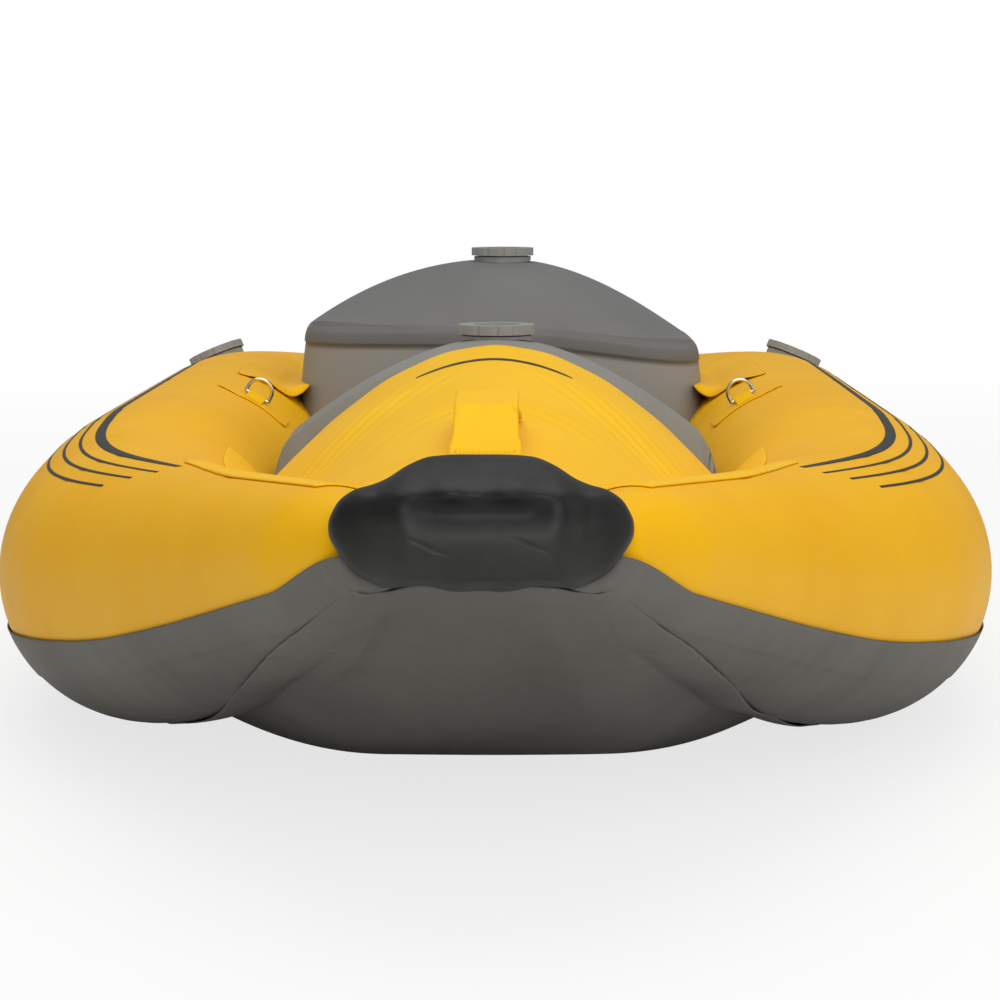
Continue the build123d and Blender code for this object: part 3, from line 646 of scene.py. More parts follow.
def belly_half(s):
    """The port half of the belly's outer face, from its flange's edge to the middle, a row for each station."""
    s = s[:, None]
    lift = BELLY_LIFT - 0.0014 * (1 - smooth_step(from_tip(s), 0.05, 0.12))
    flange_angles = belly_flange_edge(s) + (
        belly_valley_angle(s) - belly_flange_edge(s)
    ) * np.linspace(0, 1, 20)[None, :]
    flange = on_tube(s, flange_angles, lift)
    valley = on_tube(s, belly_valley_angle(s), lift)
    middle_x = on_tube(LENGTH / 2, BELLY_VALLEY_ANGLE, BELLY_LIFT)[..., 0]
    x, z = valley[..., 0], valley[..., 2]
    flat = BELLY_FLAT_WIDTH / 2 * x / middle_x
    low = belly_height(s)
    fullness = 1.6 + 1.4 * np.minimum(
        1, np.minimum(s / BELLY_FULL_STATION, (LENGTH - s) / BELLY_FULL_STATION),
    )
    share = np.linspace(0, 1, 34)[None, 1:]
    span_x = x + (flat - x) * share
    span_z = low + (z - low) * (1 - share) ** fullness
    flat_share = np.linspace(0, 1, 14)[None, 1:]
    flat_x = flat * (1 - flat_share)
    rows = np.concatenate([span_x, flat_x], axis=1), np.concatenate(
        [span_z, low + 0 * flat_x], axis=1,
    )
    free = np.stack([rows[0], np.broadcast_to(s - LENGTH / 2, rows[0].shape), rows[1]], axis=-1)
    return np.concatenate([flange, free], axis=1)


def belly_folds(points):
    """Soft folds that fan out from under each tip, a welt beside each tube, and fine pulls across the middle."""
    s, x = points[..., 1] + LENGTH / 2, points[..., 0]
    run = from_tip(s)
    bearing = np.degrees(np.arctan2(x, run + 0.10))
    fan = np.sin(
        bearing / 4.3 + 0.7 * np.sin(bearing / 11)
    ) * bell(run, 0.25, 0.15) * (1 - smooth_step(np.abs(bearing), 15, 23))
    valley_x = on_tube(s, belly_valley_angle(s), BELLY_LIFT)[..., 0]
    welt = bell(valley_x - np.abs(x), 0.016, 0.009) * bell(run, 0.20, 0.13)
    pulls = np.sin(
        2 * math.pi * (run + 0.25 * np.abs(x)) / 0.031 + 1.7 * np.sin(x * 37)
    ) * bell(run, 0.22, 0.12)
    return 0.0060 * fan - 0.0045 * welt + 0.0004 * pulls + 0.0018 * np.sin(
        19 * x + 31 * s
    ) * bell(run, 0.45, 0.25)


BELLY_SETBACK = 0.048
belly_stations = np.linspace(BELLY_SETBACK, LENGTH - BELLY_SETBACK, 480)
port_half = belly_half(belly_stations)
belly_points = np.concatenate([port_half, mirrored(port_half)[:, -2::-1]], axis=1)
folds = belly_folds(belly_points)
folds *= smooth_step(belly_points[..., 2], 0.004, 0.05)
belly_points[..., 2] += np.maximum(folds, -0.002)
belly_skin = shell("belly_sheet", belly_points, 0.0012, grey_bottom_fabric, np.array([0, 0, -1.0]))
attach(belly_skin, "hull")
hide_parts("belly")

# Bow deck and stern deck. Yellow sheets glued along the tops of the tubes. The bow deck is drawn up over
# an inflated arch, so it is tight along its crown, and creases run down from there to its corners.
BOW_DECK_END = 0.912
DECK_FLANGE_ANGLE = -5
DECK_LIFT = 0.0017
DECK_CURVE = 1.9
STERN_DECK_LENGTH = 0.250


DECK_CROWN_START, DECK_CROWN_RISE = 0.3372, 0.046
DECK_EDGE_START, DECK_EDGE_SWING = 35, 25
STERN_CROWN_LIFT = 0.0072


def bow_deck_shape(s):
    """The crown's height, and the angle at which the deck leaves the tube."""
    share = (s - COVER_START) / (BOW_DECK_END - COVER_START)
    return DECK_CROWN_START + DECK_CROWN_RISE * share, DECK_EDGE_START + DECK_EDGE_SWING * share


def stern_deck_shape(s):
    return on_tube(s, 0)[..., 2] + STERN_CROWN_LIFT, DECK_EDGE_START + 0 * s


def deck_half(stations, shape, flange_edge):
    """The port half of a deck's upper face, from the flange's edge to the crown, a row for each station."""
    s = stations[:, None]
    crown, edge_angle = shape(s)
    flange_angles = flange_edge(s) + (
        edge_angle - 1.0 - flange_edge(s)
    ) * np.linspace(0, 1, 22)[None, :]
    flange = on_tube(s, flange_angles, DECK_LIFT)
    x, z = flange[:, -1:, 0], flange[:, -1:, 2]
    share = np.linspace(0, 1, 60)[None, 1:]
    arch_x = x * (1 - share)
    arch_z = crown - (crown - z) * (1 - share) ** DECK_CURVE
    arch = np.stack([arch_x, np.broadcast_to(s - LENGTH / 2, arch_x.shape), arch_z], axis=-1)
    return np.concatenate([flange, arch], axis=1)


def bow_creases(points):
    """Tension creases on the bow deck: long ones down each flank, and short ones round the strap."""
    s, x = points[..., 1] + LENGTH / 2, np.abs(points[..., 0])
    lean = x + 0.55 * (s - 0.62) + 0.010 * np.sin(11 * s + 3)
    flank = np.sin(
        2 * math.pi * lean / 0.024 + 2.2 * np.sin(s * 13)
    ) * bell(lean, 0.125, 0.055) * bell(s, 0.68, 0.19)
    fine = np.sin(
        2 * math.pi * lean / 0.011 + 1.1 * np.sin(s * 31)
    ) * bell(lean, 0.155, 0.035) * bell(s, 0.60, 0.15)
    away = np.hypot(x * 1.1, s - 0.40)
    rings = np.sin(
        2 * math.pi * away / 0.034 + 0.8
    ) * bell(away, 0.10, 0.05) * smooth_step(s, 0.36, 0.50)
    hem = np.sin(2 * math.pi * x / 0.06 + 2) * bell(s, BOW_DECK_END, 0.03)
    tight = 1 - 0.95 * smooth_step(s, 0.69, 0.77) * (1 - smooth_step(x, 0.10, 0.15))
    return (0.0017 * flank + 0.0005 * fine + 0.0010 * rings) * tight + 0.0004 * hem


def bow_flange_edge(s):
    """The flange's edge starts outboard of the tube's ridge, tapers to a tail on it, then runs on well inboard."""
    return -13 + 13 * smooth_step(s, 0.30, 0.54) + 36 * smooth_step(s, 0.54, 0.66)


yellow_deck_fabric = coated_fabric("yellow_pvc_coated_deck_polyester", "#FAC30B", "#F4BB07", 0.48)
bow_stations = np.linspace(COVER_START - 0.02, BOW_DECK_END, 260)
half = deck_half(bow_stations, bow_deck_shape, bow_flange_edge)
bow_points = np.concatenate([half, mirrored(half)[:, -2::-1]], axis=1)
bow_points[..., 2] += bow_creases(bow_points)
bow_sheet = shell("bow_deck_sheet", bow_points, 0.0012, yellow_deck_fabric, np.array([0, 0, 1.0]))
stern_stations = np.linspace(
    LENGTH - COVER_START - STERN_DECK_LENGTH, LENGTH - COVER_START + 0.02, 90,
)
half = deck_half(stern_stations, stern_deck_shape, lambda s: DECK_FLANGE_ANGLE + 0 * s)
stern_points = np.concatenate([half, mirrored(half)[:, -2::-1]], axis=1)
stern_sheet = shell(
    "stern_deck_sheet", stern_points, 0.0012, yellow_deck_fabric, np.array([0, 0, 1.0]),
)
STRIPE_HALF_LENGTH, STRIPE_HALF_WIDTH, STRIPE_STATION, STRIPE_SWEEP = 0.078, 0.0065, 0.800, 0.020
stripe_share = np.linspace(-1, 1, 160)[:, None]
stripe_x = STRIPE_HALF_LENGTH * stripe_share
stripe_half = STRIPE_HALF_WIDTH * (1 - 0.7 * np.abs(stripe_share) ** 6)
stripe_s = STRIPE_STATION - STRIPE_SWEEP * stripe_share ** 2 + np.linspace(
    -1, 1, 9,
)[None, :] * stripe_half
stripe_crown, stripe_edge = bow_deck_shape(stripe_s)
edge_place = on_tube(stripe_s, stripe_edge - 1.0, DECK_LIFT)
stripe_z = stripe_crown - (stripe_crown - edge_place[..., 2]) * (
    np.abs(stripe_x) / edge_place[..., 0]
) ** DECK_CURVE
stripe_points = np.stack(
    [np.broadcast_to(stripe_x, stripe_z.shape), stripe_s - LENGTH / 2, stripe_z], axis=-1,
)
stripe_points[..., 2] += bow_creases(stripe_points) + 0.0006
deck_stripe = shell("bow_deck_stripe", stripe_points, 0.0004, black_ink, np.array([0, 0, 1.0]))
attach(deck_stripe, "hull")
for sheet, node in ((bow_sheet, "bow_deck"), (stern_sheet, "stern_deck")):
    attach(sheet, "hull")
    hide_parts(node)

# Bumpers. Thick black rubber caps moulded over the tube tips: a blunt hump in the middle, a rounded lobe
# on each tip, and a flat worn face in front. The skin is satin, greyed by dust where it has been rubbed.
bumper_rubber, rubber = new_material("black_moulded_rubber")
rubber_place = add_node(rubber, "ShaderNodeTexCoord").outputs["Object"]
dust = add_node(
    rubber, "ShaderNodeTexNoise",
    {"Vector": rubber_place, "Scale": 22.0, "Detail": 8.0, "Roughness": 0.65},
)
dusty = add_node(
    rubber, "ShaderNodeMapRange",
    {"Value": dust.outputs["Fac"], "From Min": 0.42, "From Max": 0.72},
)
rubbed_face = add_node(rubber, "ShaderNodeAttribute", attribute_name="rubbed")
dust_here = add_node(
    rubber, "ShaderNodeMapRange", {"Value": dusty.outputs[0], "To Min": 0.55, "To Max": 1.0},
)
dust_share = add_node(
    rubber, "ShaderNodeMath", {0: dust_here.outputs[0], 1: rubbed_face.outputs["Fac"]},
    operation="MULTIPLY",
)
rubber_colour = add_node(
    rubber, "ShaderNodeMix", {0: dust_share.outputs[0], 6: linear("#0C0C0B"), 7: linear("#2F2F2B")},
    data_type="RGBA",
)
rubber_gloss = add_node(
    rubber, "ShaderNodeMapRange",
    {
        "Value": dust.outputs["Fac"], "From Min": 0.3, "From Max": 0.7, "To Min": 0.38,
        "To Max": 0.56,
    },
)
mould_grain = add_node(
    rubber, "ShaderNodeTexNoise", {"Vector": rubber_place, "Scale": 420.0, "Detail": 3.0},
)
mould_bump = add_node(
    rubber, "ShaderNodeBump",
    {"Height": mould_grain.outputs["Fac"], "Strength": 0.12, "Distance": 0.0004},
)
wave_bump = add_node(
    rubber, "ShaderNodeBump",
    {
        "Height": dust.outputs["Fac"], "Strength": 0.3, "Distance": 0.0025,
        "Normal": mould_bump.outputs[0],
    },
)
rubber_shader = add_node(
    rubber, "ShaderNodeBsdfPrincipled",
    {
        "Base Color": rubber_colour.outputs[2], "Roughness": rubber_gloss.outputs[0],
        "Normal": wave_bump.outputs[0], "IOR": 1.52, "Specular IOR Level": 0.30,
    },
)
show(rubber, rubber_shader)
BUMPER_LENGTH = 0.150
BUMPER_HALF_WIDTH = 0.1100
BUMPER_HEIGHT = 0.096
BUMPER_CHIN = 0.006
BUMPER_LIFT = 0.006
BUMPER_OUTLINE = [
    (0, 1.0), (0.2, 1.0), (
        0.36, 0.985,
    ), (0.5, 0.92), (0.62, 0.83), (0.72, 0.785), (0.82, 0.765), (0.93, 0.68),
    (1.0, 0.53), (1.0, 0.40), (0.94, 0.29), (0.9, 0.22), (0.8, 0.10), (
        0.66, 0.025,
    ), (0.45, 0.045), (0.3, 0.04), (0.12, 0.0), (0, 0.0),
]


def round_outline(half_outline, count):
    """A closed outline from its right half, evenly resampled and smoothed."""
    right = np.array(half_outline)
    ring = np.concatenate([right, right[-2:0:-1] * [-1, 1]])
    ring = np.concatenate([ring, ring[:1]])
    steps = np.concatenate([[0], np.cumsum(np.linalg.norm(np.diff(ring, axis=0), axis=1))])
    at = np.linspace(0, steps[-1], count, endpoint=False)
    even = np.stack([np.interp(at, steps, ring[:, k]) for k in (0, 1)], axis=1)
    for _ in range(3):
        even = (np.roll(even, 1, axis=0) + 2 * even + np.roll(even, -1, axis=0)) / 4
    return even


def bumper_points(tip, inwards):
    """Rings of the bumper from the middle of its front face, out over its nose and back along its sides."""
    ring = round_outline(BUMPER_OUTLINE, 168)
    chin = float(tube_height(tip + inwards * TIP_SETBACK)) - TIP_RADIUS - BUMPER_CHIN
    rows = []
    for q in np.concatenate([np.linspace(0.02, 1, 60), np.linspace(1.03, 2, 34)]):
        face_share = min(q, 1.0)
        spread = face_share if q <= 1 else 1 - 0.14 * (q - 1) ** 2
        depth = 0.034 * (
            1 - (1 - face_share ** 3.0) ** (1 / 3.0)
        ) + (BUMPER_LENGTH - 0.034) * max(0, q - 1)
        px, pz = ring[:, 0] * spread, (ring[:, 1] - 0.45) * spread + 0.45
        wide = np.abs(px)
        facing = 1 - smooth_step(np.full_like(px, q), 1.0, 1.25)
        middle = 1 - smooth_step(wide, 0.3, 0.62)
        hollow = 0.0085 * bell(pz, 0.64, 0.13) * middle
        brow = 0.034 * smooth_step(pz, 0.74, 1.02) - 0.007 * bell(pz, 0.84, 0.10) * bell(
            wide, 0.19, 0.12,
        )
        lobe = 0.014 * smooth_step(
            wide, 0.44, 0.84,
        ) + 0.004 * bell(wide, 0.66, 0.09) * smooth_step(pz, 0.25, 0.6)
        chin_roll = 0.012 * (1 - smooth_step(pz, 0.0, 0.16)) * (1 + 0.5 * np.cos(wide * 15))
        crease = 0.0018 * bell(pz - 0.06 * np.sin(px * 9), 0.40, 0.012) * bell(wide, 0.33, 0.10)
        y = tip + inwards * (
            depth + facing * (hollow + brow + lobe + chin_roll + crease)
        ) - LENGTH / 2
        lifted = chin + BUMPER_LIFT * (1 - max(0, q - 1))
        rows.append(np.stack([px * BUMPER_HALF_WIDTH, y, lifted + pz * BUMPER_HEIGHT], axis=1))
    return np.array(rows)


def rubbed_share(tip):
    """The lower front face is greyed where it rubs on banks and ramps."""
    def share_at(place):
        height = (place[:, 2] - place[:, 2].min()) / BUMPER_HEIGHT
        back = np.abs(place[:, 1] + LENGTH / 2 - tip)
        wide = np.abs(place[:, 0]) / BUMPER_HALF_WIDTH
        face = (1 - smooth_step(height, 0.50, 0.66)) * (1 - smooth_step(back, 0.045, 0.075))
        return face * (1 - 0.75 * smooth_step(wide, 0.62, 0.86))
    return share_at


for end, tip, inwards in (("bow", 0.0, 1), ("stern", LENGTH, -1)):
    bumper = closed_loft(end + "_moulded_bumper", bumper_points(tip, inwards), bumper_rubber)
    mark(bumper, "rubbed", rubbed_share(tip))
    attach(bumper, "hull")
    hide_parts(end + "_bumper")

# Grab straps. Each is a doubled band of the deck's own fabric, folded over a core, and glued and sewn down
# at both feet. It arches clear of the deck so that a hand fits under it.
STRAP_WIDTH, STRAP_THICKNESS = 0.052, 0.003


def strap_points(station, crown_at, rise, forward):
    """A band from foot to foot over a hand's gap. Forward is -1 or 1, the way the front leg leans."""
    legs = [
        (-0.062, 0.93), (-0.056, 1.03), (-0.050, 1.06), (0.0, 1.08), (0.034, 1.03), (0.040, 0.96),
        (0.044, 0.80),
    ]
    legs = [(run, share * rise) for run, share in legs]
    front_foot, rear_foot = [
        (-0.128, 0.004), (-0.106, 0.004), (-0.097, 0.010),
    ], [(0.052, 0.010), (0.062, 0.004), (0.085, 0.004)]
    route = np.array(front_foot + legs + rear_foot)
    knots = np.concatenate([[0], np.cumsum(np.linalg.norm(np.diff(route, axis=0), axis=1))])
    at = np.linspace(0, knots[-1], 110)
    run, lift = np.interp(at, knots, route[:, 0]), np.interp(at, knots, route[:, 1])
    kernel = np.hanning(9) / np.hanning(9).sum()
    run, lift = (np.convolve(np.pad(v, 4, mode="edge"), kernel, "valid") for v in (run, lift))
    side = np.linspace(-1, 1, 25)[None, :]
    free = smooth_step(lift, 0.006, 0.014)[:, None]
    flare = 1 + 0.10 * (1 - free)
    x = side * STRAP_WIDTH / 2 * flare
    s = station + run[:, None] + 0 * side
    crease = 0.0007 * np.sin(side * 7.0 + 0.8) + 0.0005 * np.sin(side * 15.0 + run[:, None] * 90)
    dog_ear = -0.0060 * smooth_step(side, 0.72, 1.0) * bell(run[:, None], -0.054, 0.010)
    z = crown_at(s) + lift[:, None] + dog_ear
    y = s + forward * free * crease - LENGTH / 2
    return np.stack([x, y, z], axis=-1)


def stern_crown(s):
    return stern_deck_shape(np.asarray(s, float))[0]


BOW_STRAP_STATION, STERN_STRAP_STATION = 0.345, 2.600
for end, station, crown_at, rise, forward in (
    ("bow", BOW_STRAP_STATION, lambda s: bow_deck_shape(s)[0], 0.030, -1),
    ("stern", STERN_STRAP_STATION, stern_crown, 0.036, 1),
):
    strap = shell(
        end + "_grab_strap", strap_points(station, crown_at, rise, forward), STRAP_THICKNESS,
        yellow_deck_fabric, np.array([0, 0, 1.0]),
    )
    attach(strap, "hull")
    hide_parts(end + "_strap")

# Floor. An inflated mattress with welded beams inside, so its top is five long shallow flutes.
grey_floor_fabric = coated_fabric("grey_textured_floor_polyester", "#6B6A67", "#62615E", 0.6)
FLOOR_START, FLOOR_END = 0.600, 2.280
FLOOR_TOP = 0.105
FLOOR_FLUTES = 5


def floor_ring(s):
    """One ring round the floor at a station."""
    width = (tube_radius(s) + 0.0022) * np.sqrt(1 + slope(tube_offset, s) ** 2)
    height = (tube_radius(s) + 0.0022) * np.sqrt(1 + slope(tube_height, s) ** 2)
    rise = (tube_height(s) - FLOOR_TOP) / height
    half = float(tube_offset(s) - width * np.sqrt(np.maximum(0, 1 - rise ** 2))) - 0.002
    bottom = float(belly_height(s)) + 0.004
    end = min(s - FLOOR_START, FLOOR_END - s)
    plump = math.sqrt(max(0.0, 1 - (1 - min(1, end / 0.045)) ** 2))
    middle, thick = (FLOOR_TOP + bottom) / 2, (FLOOR_TOP - bottom) / 2 * max(0.06, plump)
    t = np.linspace(0, 2 * math.pi, 160, endpoint=False)
    x = np.sign(np.cos(t)) * np.abs(np.cos(t)) ** 0.32 * half * (0.97 + 0.03 * plump)
    z = np.sign(np.sin(t)) * np.abs(np.sin(t)) ** 0.55
    flute = 0.007 * (1 - np.abs(np.sin(math.pi * FLOOR_FLUTES * (x / half + 1) / 2)) ** 0.7)
    z = middle + thick * z - np.where(z > 0.3, flute * plump, 0)
    return np.stack([x, np.full_like(x, s - LENGTH / 2), z], axis=1)


floor_stations = np.concatenate(
    [
        FLOOR_START + 0.045 * (1 - np.cos(np.linspace(0, math.pi / 2, 14))),
        np.linspace(0.66, 2.22, 150),
        FLOOR_END - 0.045 * (1 - np.cos(np.linspace(math.pi / 2, 0, 14))),
    ]
)
FLOOR_VALVE_PLACE = (0, 2.080 - LENGTH / 2, FLOOR_TOP)
floor_rings = np.array([floor_ring(s) for s in floor_stations])
floor_pad = closed_loft(
    "inflated_floor", valve_pocket(floor_rings, FLOOR_VALVE_PLACE, (0, 0, 1)), grey_floor_fabric,
)
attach(floor_pad, "hull")
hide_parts("floor")

# Deck arch. A light grey inflated bolster that springs from tube to tube and holds up the bow deck's rear
# edge. It is pumped hard, with one welded seam along its ridge behind the deck's hem.
light_grey_fabric = coated_fabric("light_grey_pvc_coated_polyester", "#8B8A84", "#82817B", 0.5)
ARCH_STATION, ARCH_LENGTH = 0.958, 0.180
ARCH_CROWN, ARCH_UNDERSIDE, ARCH_DROP, ARCH_HALF = 0.388, 0.255, 0.080, 0.238
ARCH_FALL, ARCH_CURVE = 0.118, 1.75


def arch_points():
    """Rings round the bolster, from foot to foot."""
    rows = []
    for share in np.sin(np.linspace(-math.pi / 2, math.pi / 2, 90)):
        x = ARCH_HALF * share
        top = ARCH_CROWN - ARCH_FALL * abs(share) ** ARCH_CURVE - 0.003 * float(
            bell(abs(share), 0.93, 0.012)
        )
        bottom = ARCH_UNDERSIDE - ARCH_DROP * abs(share) ** ARCH_CURVE
        closing = math.sqrt(max(0.0, 1 - smooth_step(abs(share), 0.9, 1.0) ** 2))
        thick = (top - bottom) / 2 * max(0.04, closing)
        t = np.linspace(0, 2 * math.pi, 180, endpoint=False)
        y = np.sign(np.cos(t)) * np.abs(np.cos(t)) ** 0.9 * ARCH_LENGTH / 2 * (0.8 + 0.2 * closing)
        z = (top + bottom) / 2 + thick * np.sign(np.sin(t)) * np.abs(np.sin(t)) ** 0.9
        s = ARCH_STATION + y
        crown, edge_angle = bow_deck_shape(s)
        edge = on_tube(s, edge_angle - 1.0, DECK_LIFT)
        under_deck = crown - (crown - edge[:, 2]) * np.minimum(
            1.3, abs(x) / edge[:, 0],
        ) ** DECK_CURVE - 0.0035
        z = np.where(s < BOW_DECK_END + 0.001, np.minimum(z, under_deck), z)
        seam = 0.0022 * bell(s, ARCH_STATION + 0.030, 0.0035) * (z > (top + bottom) / 2)
        z = z + seam
        rows.append(np.stack([np.full_like(s, x), s - LENGTH / 2, z], axis=1))
    return np.array(rows)


ARCH_VALVE_PLACE = (0, 0.980 - LENGTH / 2, 0.386)
arch = closed_loft(
    "inflated_deck_arch", valve_pocket(arch_points(), ARCH_VALVE_PLACE, (0, 0, 1)),
    light_grey_fabric,
)
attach(arch, "hull")
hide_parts("deck_arch")

# Backrest. A dark grey inflated pillow wedged between the tubes. Its wall and its domed top are two
# panels that meet in a lapped seam, with a tape above it, so the dome bulges over the wall.
dark_grey_fabric = coated_fabric("dark_grey_pvc_coated_polyester", "#747473", "#6B6B6A", 0.5)
BACKREST_STATION, BACKREST_LENGTH, BACKREST_WIDTH = 1.660, 0.330, 0.530
SEAM_HEIGHT, BACKREST_CROWN, BACKREST_FOOT = 0.342, 0.447, 0.1055
BAND_HEIGHT = 0.025


def seam_level(x):
    """The seam sags towards the port side."""
    return SEAM_HEIGHT - 0.024 * smooth_step(x, 0.0, 0.27)


def backrest_points():
    """Rings of the backrest from its foot, up the wall, over the seam and up to the crown."""
    t = np.linspace(0, 2 * math.pi, 200, endpoint=False)
    plan_x = np.sign(np.cos(t)) * np.abs(np.cos(t)) ** 0.36
    plan_y = np.sign(np.sin(t)) * np.abs(np.sin(t)) ** 0.42
    rows = []
    for q in np.linspace(0, 1, 40):
        bulge = 1 - 0.030 * (2 * q - 1) ** 2 - 0.10 * (1 - smooth_step(q, 0, 0.12)) ** 2
        pinch = 0.006 * bell(q, 1.0, 0.035)
        x, y = plan_x * BACKREST_WIDTH / 2 * bulge, plan_y * BACKREST_LENGTH / 2 * (bulge - pinch)
        z = BACKREST_FOOT + (seam_level(x) - BACKREST_FOOT) * q
        rows.append(np.stack([x, y, z], axis=1))
    for q in np.linspace(0, 1, 14)[1:]:
        inset = 0.975 - 0.035 * (1 - math.sqrt(1 - (0.96 * q) ** 2)) / 0.72
        x, y = plan_x * BACKREST_WIDTH / 2 * inset, plan_y * BACKREST_LENGTH / 2 * inset
        y = y + np.sign(y) * 0.0012 * (1 - smooth_step(np.full_like(y, q), 0.70, 0.78))
        rows.append(np.stack([x, y, seam_level(x) + BAND_HEIGHT * q], axis=1))
    for reach in np.cos(np.linspace(0, math.pi / 2, 60))[1:-1] ** 0.8:
        x, y = plan_x * BACKREST_WIDTH / 2 * 0.94 * reach, plan_y * BACKREST_LENGTH / 2 * 0.94 * reach
        across = 1 - (np.abs(x) / (BACKREST_WIDTH / 2 * 0.94)) ** 2.15
        along = 1 - (np.abs(y) / (BACKREST_LENGTH / 2 * 0.94)) ** 2.2
        rise = (BACKREST_CROWN - SEAM_HEIGHT - BAND_HEIGHT) * across * along
        rows.append(np.stack([x, y, seam_level(x) + BAND_HEIGHT + rise], axis=1))
    points = np.array(rows)
    points[..., 1] += BACKREST_STATION - LENGTH / 2
    return points


BACKREST_VALVE_PLACE = (0, BACKREST_STATION - LENGTH / 2, BACKREST_CROWN)
backrest = closed_loft(
    "inflated_backrest", valve_pocket(backrest_points(), BACKREST_VALVE_PLACE, (0, 0, 1)),
    dark_grey_fabric,
)
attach(backrest, "hull")
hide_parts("backrest")
# Painted light: the wall below the seam is marked to render paler than the dome, standing in for the front light
# on it. It is the same dark grey fabric.
mark(backrest, "painted_light_wall", lambda place: 0.62 * (place[:, 2] < seam_level(place[:, 0]) - 0.001))

# Backrest flaps. A strip of yellow fabric beside each end of the backrest. It is glued on the tube, and
# its inner edge turns up against the pillow, so a soft shadow sits under its front end.
FLAP_STATION, FLAP_HALF_LENGTH = 1.660, 0.175


def flap_points():
    """A grid over the flap, from its front end to its rear end, and from its outer edge to its inner edge."""
    s = np.linspace(FLAP_STATION - FLAP_HALF_LENGTH, FLAP_STATION + FLAP_HALF_LENGTH, 120)[:, None]
    q = np.linspace(0, 1, 40)[None, :]
    end = np.minimum(s - s[0], s[-1] - s) / FLAP_HALF_LENGTH
    corner = 1 - np.sqrt(1 - np.clip(1 - end / 0.16, 0, 1) ** 2)
    angle = 12 + 31 * q + 3 * corner * (1 - q) - 9 * corner * q
    turned_up = 0.024 * smooth_step(q, 0.62, 1.0) ** 1.5 * smooth_step(end, 0.0, 0.22)
    loose = 0.004 * (1 - smooth_step(end, 0, 0.2)) * bell(q, 0.55, 0.3)
    ripple = 0.0007 * np.sin(2 * math.pi * s / 0.043 + 5 * q) * smooth_step(q, 0.2, 0.7)
    return on_tube(s, angle, 0.0022 + turned_up + loose + ripple)


flap_grid = flap_points()
for side, points in (("port", flap_grid), ("starboard", mirrored(flap_grid))):
    flap = shell(
        side + "_glued_backrest_flap", points, 0.0012, yellow_coated_fabric, tube_outward(points),
    )
    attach(flap, "hull")
    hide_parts(side + "_backrest_flap")

# D-ring patches. Each is a pointed patch of yellow fabric glued on the tube, with a band of webbing sewn
# across it that holds the ring's straight bar.
RING_ANGLE = 29.5
RING_BAR_HEIGHT = 0.00523
SLEEVE_RADIUS = 0.0038
PATCH_HALF_WIDTH, PATCH_HALF_SPAN = 0.037, 0.048


def beside_ring(station, outboard, along, above):
    """Points near a ring, given in metres outboard, along the hull and above the tube's skin."""
    return on_tube(station + along, RING_ANGLE - np.degrees(outboard / TUBE_RADIUS), above)


def patch_points(station):
    across = PATCH_HALF_SPAN * np.sin(np.linspace(-math.pi / 2, math.pi / 2, 60))[:, None]
    inner_round = np.sqrt(1 - np.clip((-across - 0.038) / 0.0101, 0, 1) ** 2) * 0.25 + 0.75
    point = 1 - 0.97 * smooth_step(across, 0.016, PATCH_HALF_SPAN + 0.004)
    half = PATCH_HALF_WIDTH * np.minimum(inner_round, point)
    along = half * np.linspace(-1, 1, 40)[None, :]
    edge = smooth_step(np.abs(along) / half, 0.85, 1.0)
    return beside_ring(
        station, across + 0 * along, along, 0.0022 - 0.0004 * edge + 0.0002 * np.sin(along * 400),
    )


def webbing_points(station):
    route = [(-0.030, 0.0034), (-0.0085, 0.0036)]
    route += [
        (
            SLEEVE_RADIUS * math.sin(a), RING_BAR_HEIGHT + SLEEVE_RADIUS * math.cos(a),
        ) for a in np.linspace(-1.5, 1.5, 15)
    ]
    route += [(0.0085, 0.0036), (0.030, 0.0034)]
    knots = np.array(route)
    at = np.linspace(0, len(route) - 1, 100)
    along, above = np.interp(
        at, range(len(route)), knots[:, 0],
    ), np.interp(at, range(len(route)), knots[:, 1])
    outboard = np.linspace(-0.0108, 0.0108, 15)[None, :]
    return beside_ring(station, outboard, along[:, None], above[:, None] + 0 * outboard)


RING_STATIONS = {"front": 1.300, "rear": 2.250}
for end, station in RING_STATIONS.items():
    for side in ("port", "starboard"):
        patch_grid, webbing_grid = patch_points(station), webbing_points(station)
        if side == "starboard":
            patch_grid, webbing_grid = mirrored(patch_grid), mirrored(webbing_grid)
        patch = shell(
            f"{side}_{end}_glued_ring_patch", patch_grid, 0.0012, yellow_coated_fabric,
            tube_outward(patch_grid),
        )
        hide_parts(f"{side}_{end}_ring_patch")
        webbing = shell(
            f"{side}_{end}_ring_webbing", webbing_grid, 0.0011, yellow_deck_fabric,
            tube_outward(webbing_grid),
        )
        for piece in (patch, webbing):
            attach(piece, "hull")

# Stitching. Bonded polyester thread in lock stitches of 3.5 mm, in two rows across each end of a ring's
# webbing and in a box round each foot of a strap. Each stitch is a short rounded bar that sits in the cloth.
polyester_thread, thread = new_material("pale_bonded_polyester_thread")
thread_place = add_node(thread, "ShaderNodeTexCoord").outputs["Object"]
twist = add_node(
    thread, "ShaderNodeTexWave", {"Vector": thread_place, "Scale": 0.314 / 0.0005},
    bands_direction="DIAGONAL",
)
twist_bump = add_node(
    thread, "ShaderNodeBump", {"Height": twist.outputs["Fac"], "Strength": 0.3, "Distance": 0.0001},
)
thread_shader = add_node(
    thread, "ShaderNodeBsdfPrincipled",
    {
        "Base Color": linear("#E0A91C"), "Roughness": 0.6, "Normal": twist_bump.outputs[0],
        "Specular IOR Level": 0.2,
    },
)
show(thread, thread_shader)
STITCH_PITCH, STITCH_LENGTH, THREAD_RADIUS = 0.0035, 0.0026, 0.0004


